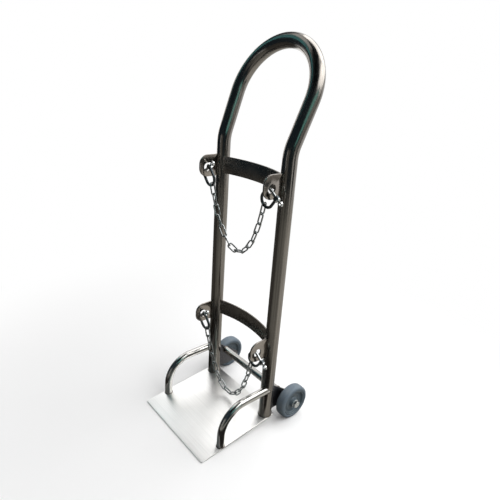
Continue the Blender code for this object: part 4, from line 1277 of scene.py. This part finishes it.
class CART_OT_stage(bpy.types.Operator):
    """Set up the pale floor, the soft light and the camera"""
    bl_idname = "cart.stage"
    bl_label = "Stage"

    SENSOR = 36
    FLOOR_HALF = 14
    # Distances from the cart's middle at which the floor starts and ends to run out into plain white.
    FADE = (0.42, 1.2)
    LAMP_TARGET = Vector((0, 0, 0.5))
    # Place, width, height, power in watts and colour of each lamp.
    LAMPS = {"right_window": ((2.16, 0.59, 2.70), 2.4, 2.0, 45, "#ffffff"),
             "back_window": ((0.85, 2.22, 2.38), 2.4, 1.8, 41, "#ffffff"),
             "roof_window": ((-0.24, 1.43, 2.88), 2.0, 1.6, 27, "#ffffff"),
             "strip": ((2.10, -0.27, 1.50), 1.6, 0.7, 2.5, "#9cf2e6"),
             "panel": ((-0.93, 0.26, 0.90), 1.0, 0.8, 2.4, "#ffffff")}
    METAL_ONLY = ("strip", "panel")
    PLATE_GAP = 0.008

    def execute(self, context):
        scene = context.scene
        studio = scene.cart_studio
        scene.view_settings.view_transform = "Standard"
        self.set_camera(scene, studio)
        self.set_world(scene, studio)
        self.add_floor(studio)
        self.add_lamps(scene)
        self.add_cards(studio)
        return {"FINISHED"}

    def set_camera(self, scene, studio):
        camera = bpy.data.objects.new("camera", bpy.data.cameras.new("camera"))
        camera.data.sensor_width = self.SENSOR
        camera.data.lens = studio.lens
        camera.data.clip_start = 0.02
        camera.data.clip_end = 60
        turn = Matrix.Rotation(studio.azimuth, 4, "Z") @ Matrix.Rotation(pi / 2 - studio.fall, 4, "X")
        camera.matrix_world = Matrix.Translation(studio.eye) @ turn @ Matrix.Rotation(studio.roll, 4, "Z")
        scene.collection.objects.link(camera)
        scene.camera = camera

    @staticmethod
    def seen_directly(tree):
        """1 for rays from the camera or off and through the pieces, 0 for light given to matt surfaces."""
        rays = add_node(tree, "ShaderNodeLightPath").outputs
        sharp = add_node(tree, "ShaderNodeMath", links={0: rays["Is Camera Ray"], 1: rays["Is Glossy Ray"]},
                         operation="ADD")
        return add_node(tree, "ShaderNodeMath", links={0: sharp, 1: rays["Is Transmission Ray"]},
                        operation="ADD", use_clamp=True)

    def set_world(self, scene, studio):
        """A white surround for what the camera and the metal see, and softer for the light it gives."""
        world = bpy.data.worlds.new("pale surround")
        world.use_nodes = True
        tree = world.node_tree
        tree.nodes.clear()
        strength = add_node(tree, "ShaderNodeMapRange", {"To Min": studio.sky, "To Max": 1.0},
                            {"Value": self.seen_directly(tree)})
        light = add_node(tree, "ShaderNodeBackground", {"Color": (1, 1, 1, 1)}, {"Strength": strength})
        add_node(tree, "ShaderNodeOutputWorld", links={"Surface": light})
        scene.world = world

    def add_floor(self, studio):
        """A matt white floor round the cart that runs out into plain white."""
        material, tree, shader = self.matt_material("pale painted floor", studio.floor, roughness=0.9)
        seen = self.seen_directly(tree)
        bounce = add_node(tree, "ShaderNodeBsdfDiffuse", {"Color": studio.bounce})
        matt = add_node(tree, "ShaderNodeMixShader", links={0: seen, 1: bounce, 2: shader})
        place = add_node(tree, "ShaderNodeTexCoord").outputs["Object"]
        distance = add_node(tree, "ShaderNodeVectorMath", links={0: place}, operation="LENGTH")
        fade = add_node(tree, "ShaderNodeMapRange", {"From Min": self.FADE[0], "From Max": self.FADE[1]},
                        {"Value": distance.outputs["Value"]}, interpolation_type="SMOOTHSTEP")
        share = add_node(tree, "ShaderNodeMath", links={0: fade, 1: seen}, operation="MULTIPLY")
        white = add_node(tree, "ShaderNodeEmission", {"Color": (1, 1, 1, 1), "Strength": 1.0})
        both = add_node(tree, "ShaderNodeMixShader", links={0: share, 1: matt, 2: white})
        tree.links.new(both.outputs["Shader"], tree.nodes["Material Output"].inputs["Surface"])
        shape = bmesh.new()
        bmesh.ops.create_grid(shape, x_segments=1, y_segments=1, size=self.FLOOR_HALF)
        floor = add_object("floor", shape, material)

    @staticmethod
    def matt_material(name, colour, roughness):
        """A matt colour with no gloss."""
        material, tree, shader = start_material(name, metallic=0.0, roughness=roughness)
        shader.inputs["Base Color"].default_value = colour
        shader.inputs["Specular IOR Level"].default_value = 0.0
        return material, tree, shader

    def add_lamps(self, scene):
        """Broad windows at the right, behind and above, a cool strip, and a panel that the plate mirrors."""
        for name, (place, width, height, power, code) in self.LAMPS.items():
            light = bpy.data.lights.new(name, "AREA")
            light.shape = "RECTANGLE"
            light.size = width
            light.size_y = height
            light.energy = power
            light.color = from_hex(code)[:3]
            lamp = bpy.data.objects.new(name, light)
            lamp.location = place
            lamp.rotation_euler = (self.LAMP_TARGET - Vector(place)).to_track_quat("-Z", "Y").to_euler()
            lamp.visible_camera = False
            lamp.visible_diffuse = name not in self.METAL_ONLY
            scene.collection.objects.link(lamp)

    def add_cards(self, studio):
        """Cards that only the metal sees: a dim room in front of the cart, which gives it its dark sides."""
        low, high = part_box("foot_plate")
        plate = [(low.x, low.y), (high.x, low.y), (high.x, high.y), (low.x, high.y)]
        # Distances from the cart's middle; the teal card hangs just in front of the wall.
        middle, near, overhead, teal, far = 0.01, 0.42, 0.8, 2.55, 2.6
        # Heights: floor, skirting, horizon, foot of the high cards, ceiling, top of the high cards.
        ground, skirt, horizon, foot, top, crest = 0.001, 0.45, 1.25, 2.1, 3.2, 3.9
        # Each card is a ring of strips: degrees from +X, then the distance and height of both edges. A card
        # with no inner distance starts at the foot plate.
        cards = (("near_mat", studio.near_mat, range(-215, 1, 5), None, ground, near, ground),
                 ("left_mat", studio.left_mat, range(-215, -94, 5), near, ground, far, ground),
                 ("front_mat", studio.front_mat, range(-95, 1, 5), near, ground, far, ground),
                 ("right_mat", studio.right_mat, range(0, 146, 5), None, ground, far, ground),
                 ("right_wall", studio.right_mat, range(0, 61, 5), far, skirt, far, horizon),
                 ("right_wall_foot", studio.wall, range(15, 41, 5), far, ground, far, skirt),
                 ("front_low_wall", studio.front_mat, range(-95, -59, 5), far, ground, far, horizon),
                 ("right_front_wall", studio.wall, range(-60, 1, 5), far, ground, far, horizon),
                 ("left_front_wall", studio.wall, range(-170, -99, 5), far, ground, far, horizon),
                 ("front_wall", studio.wall, range(-180, 21, 5), far, horizon, far, top),
                 ("left_wall", studio.wall, range(-220, -179, 5), far, foot, far, crest),
                 ("ceiling", studio.wall, range(-138, 1, 6), far, top, overhead, top),
                 ("overhead", studio.wall, range(-180, 181, 10), overhead, top, middle, top),
                 ("teal_wall", studio.teal, range(-174, -138, 4), teal, foot, teal, crest))
        for name, colour, bearings, inner, inner_height, outer, outer_height in cards:
            shape = bmesh.new()
            rows = []
            for angle in (radians(degrees % 360) for degrees in bearings):
                ahead = Vector((cos(angle), sin(angle), 0))
                start = reach(plate, angle) + self.PLATE_GAP if inner is None else inner
                edges = ((start, inner_height), (outer, outer_height))
                rows.append([shape.verts.new(ahead * distance + height * UP) for distance, height in edges])
            for first, second in zip(rows, rows[1:]):
                shape.faces.new((first[0], first[1], second[1], second[0]))
            material = self.matt_material(name, colour, roughness=1.0)[0]
            card = add_object(name, shape, material)
            card.visible_camera = False
            card.visible_diffuse = False
            card.visible_shadow = False


class CART_PT_panel(bpy.types.Panel):
    """Lists the pieces of the cart in the order in which they are built"""
    bl_idname = "CART_PT_panel"
    bl_label = "Gas cylinder cart"
    bl_space_type = "VIEW_3D"
    bl_region_type = "UI"
    bl_category = "Cart"

    def draw(self, context):
        for operator in OPERATORS:
            self.layout.operator(operator.bl_idname)


OPERATORS = (CART_OT_stage, CART_OT_frame_tube, CART_OT_foot_plate, CART_OT_side_guards, CART_OT_back_bands,
             CART_OT_chain_lugs, CART_OT_wheel_brackets, CART_OT_cross_tube, CART_OT_welds, CART_OT_wheels,
             CART_OT_axle_bolts, CART_OT_shackles, CART_OT_chains)
GROUPS = {"cart_frame": CartFrameSizes, "cart_wheel": CartWheelSizes, "cart_chain": CartChainSizes,
          "cart_colours": CartColours, "cart_studio": CartStudio}


def register():
    for group in GROUPS.values():
        bpy.utils.register_class(group)
    for name, group in GROUPS.items():
        setattr(bpy.types.Scene, name, PointerProperty(type=group))
    for item in (*OPERATORS, CART_PT_panel):
        bpy.utils.register_class(item)


def unregister():
    for item in (CART_PT_panel, *reversed(OPERATORS)):
        bpy.utils.unregister_class(item)
    for name in GROUPS:
        delattr(bpy.types.Scene, name)
    for group in reversed(GROUPS.values()):
        bpy.utils.unregister_class(group)


def main():
    register()
    for operator in OPERATORS:
        group, name = operator.bl_idname.split(".")
        getattr(getattr(bpy.ops, group), name)()


if __name__ == "__main__":
    main()
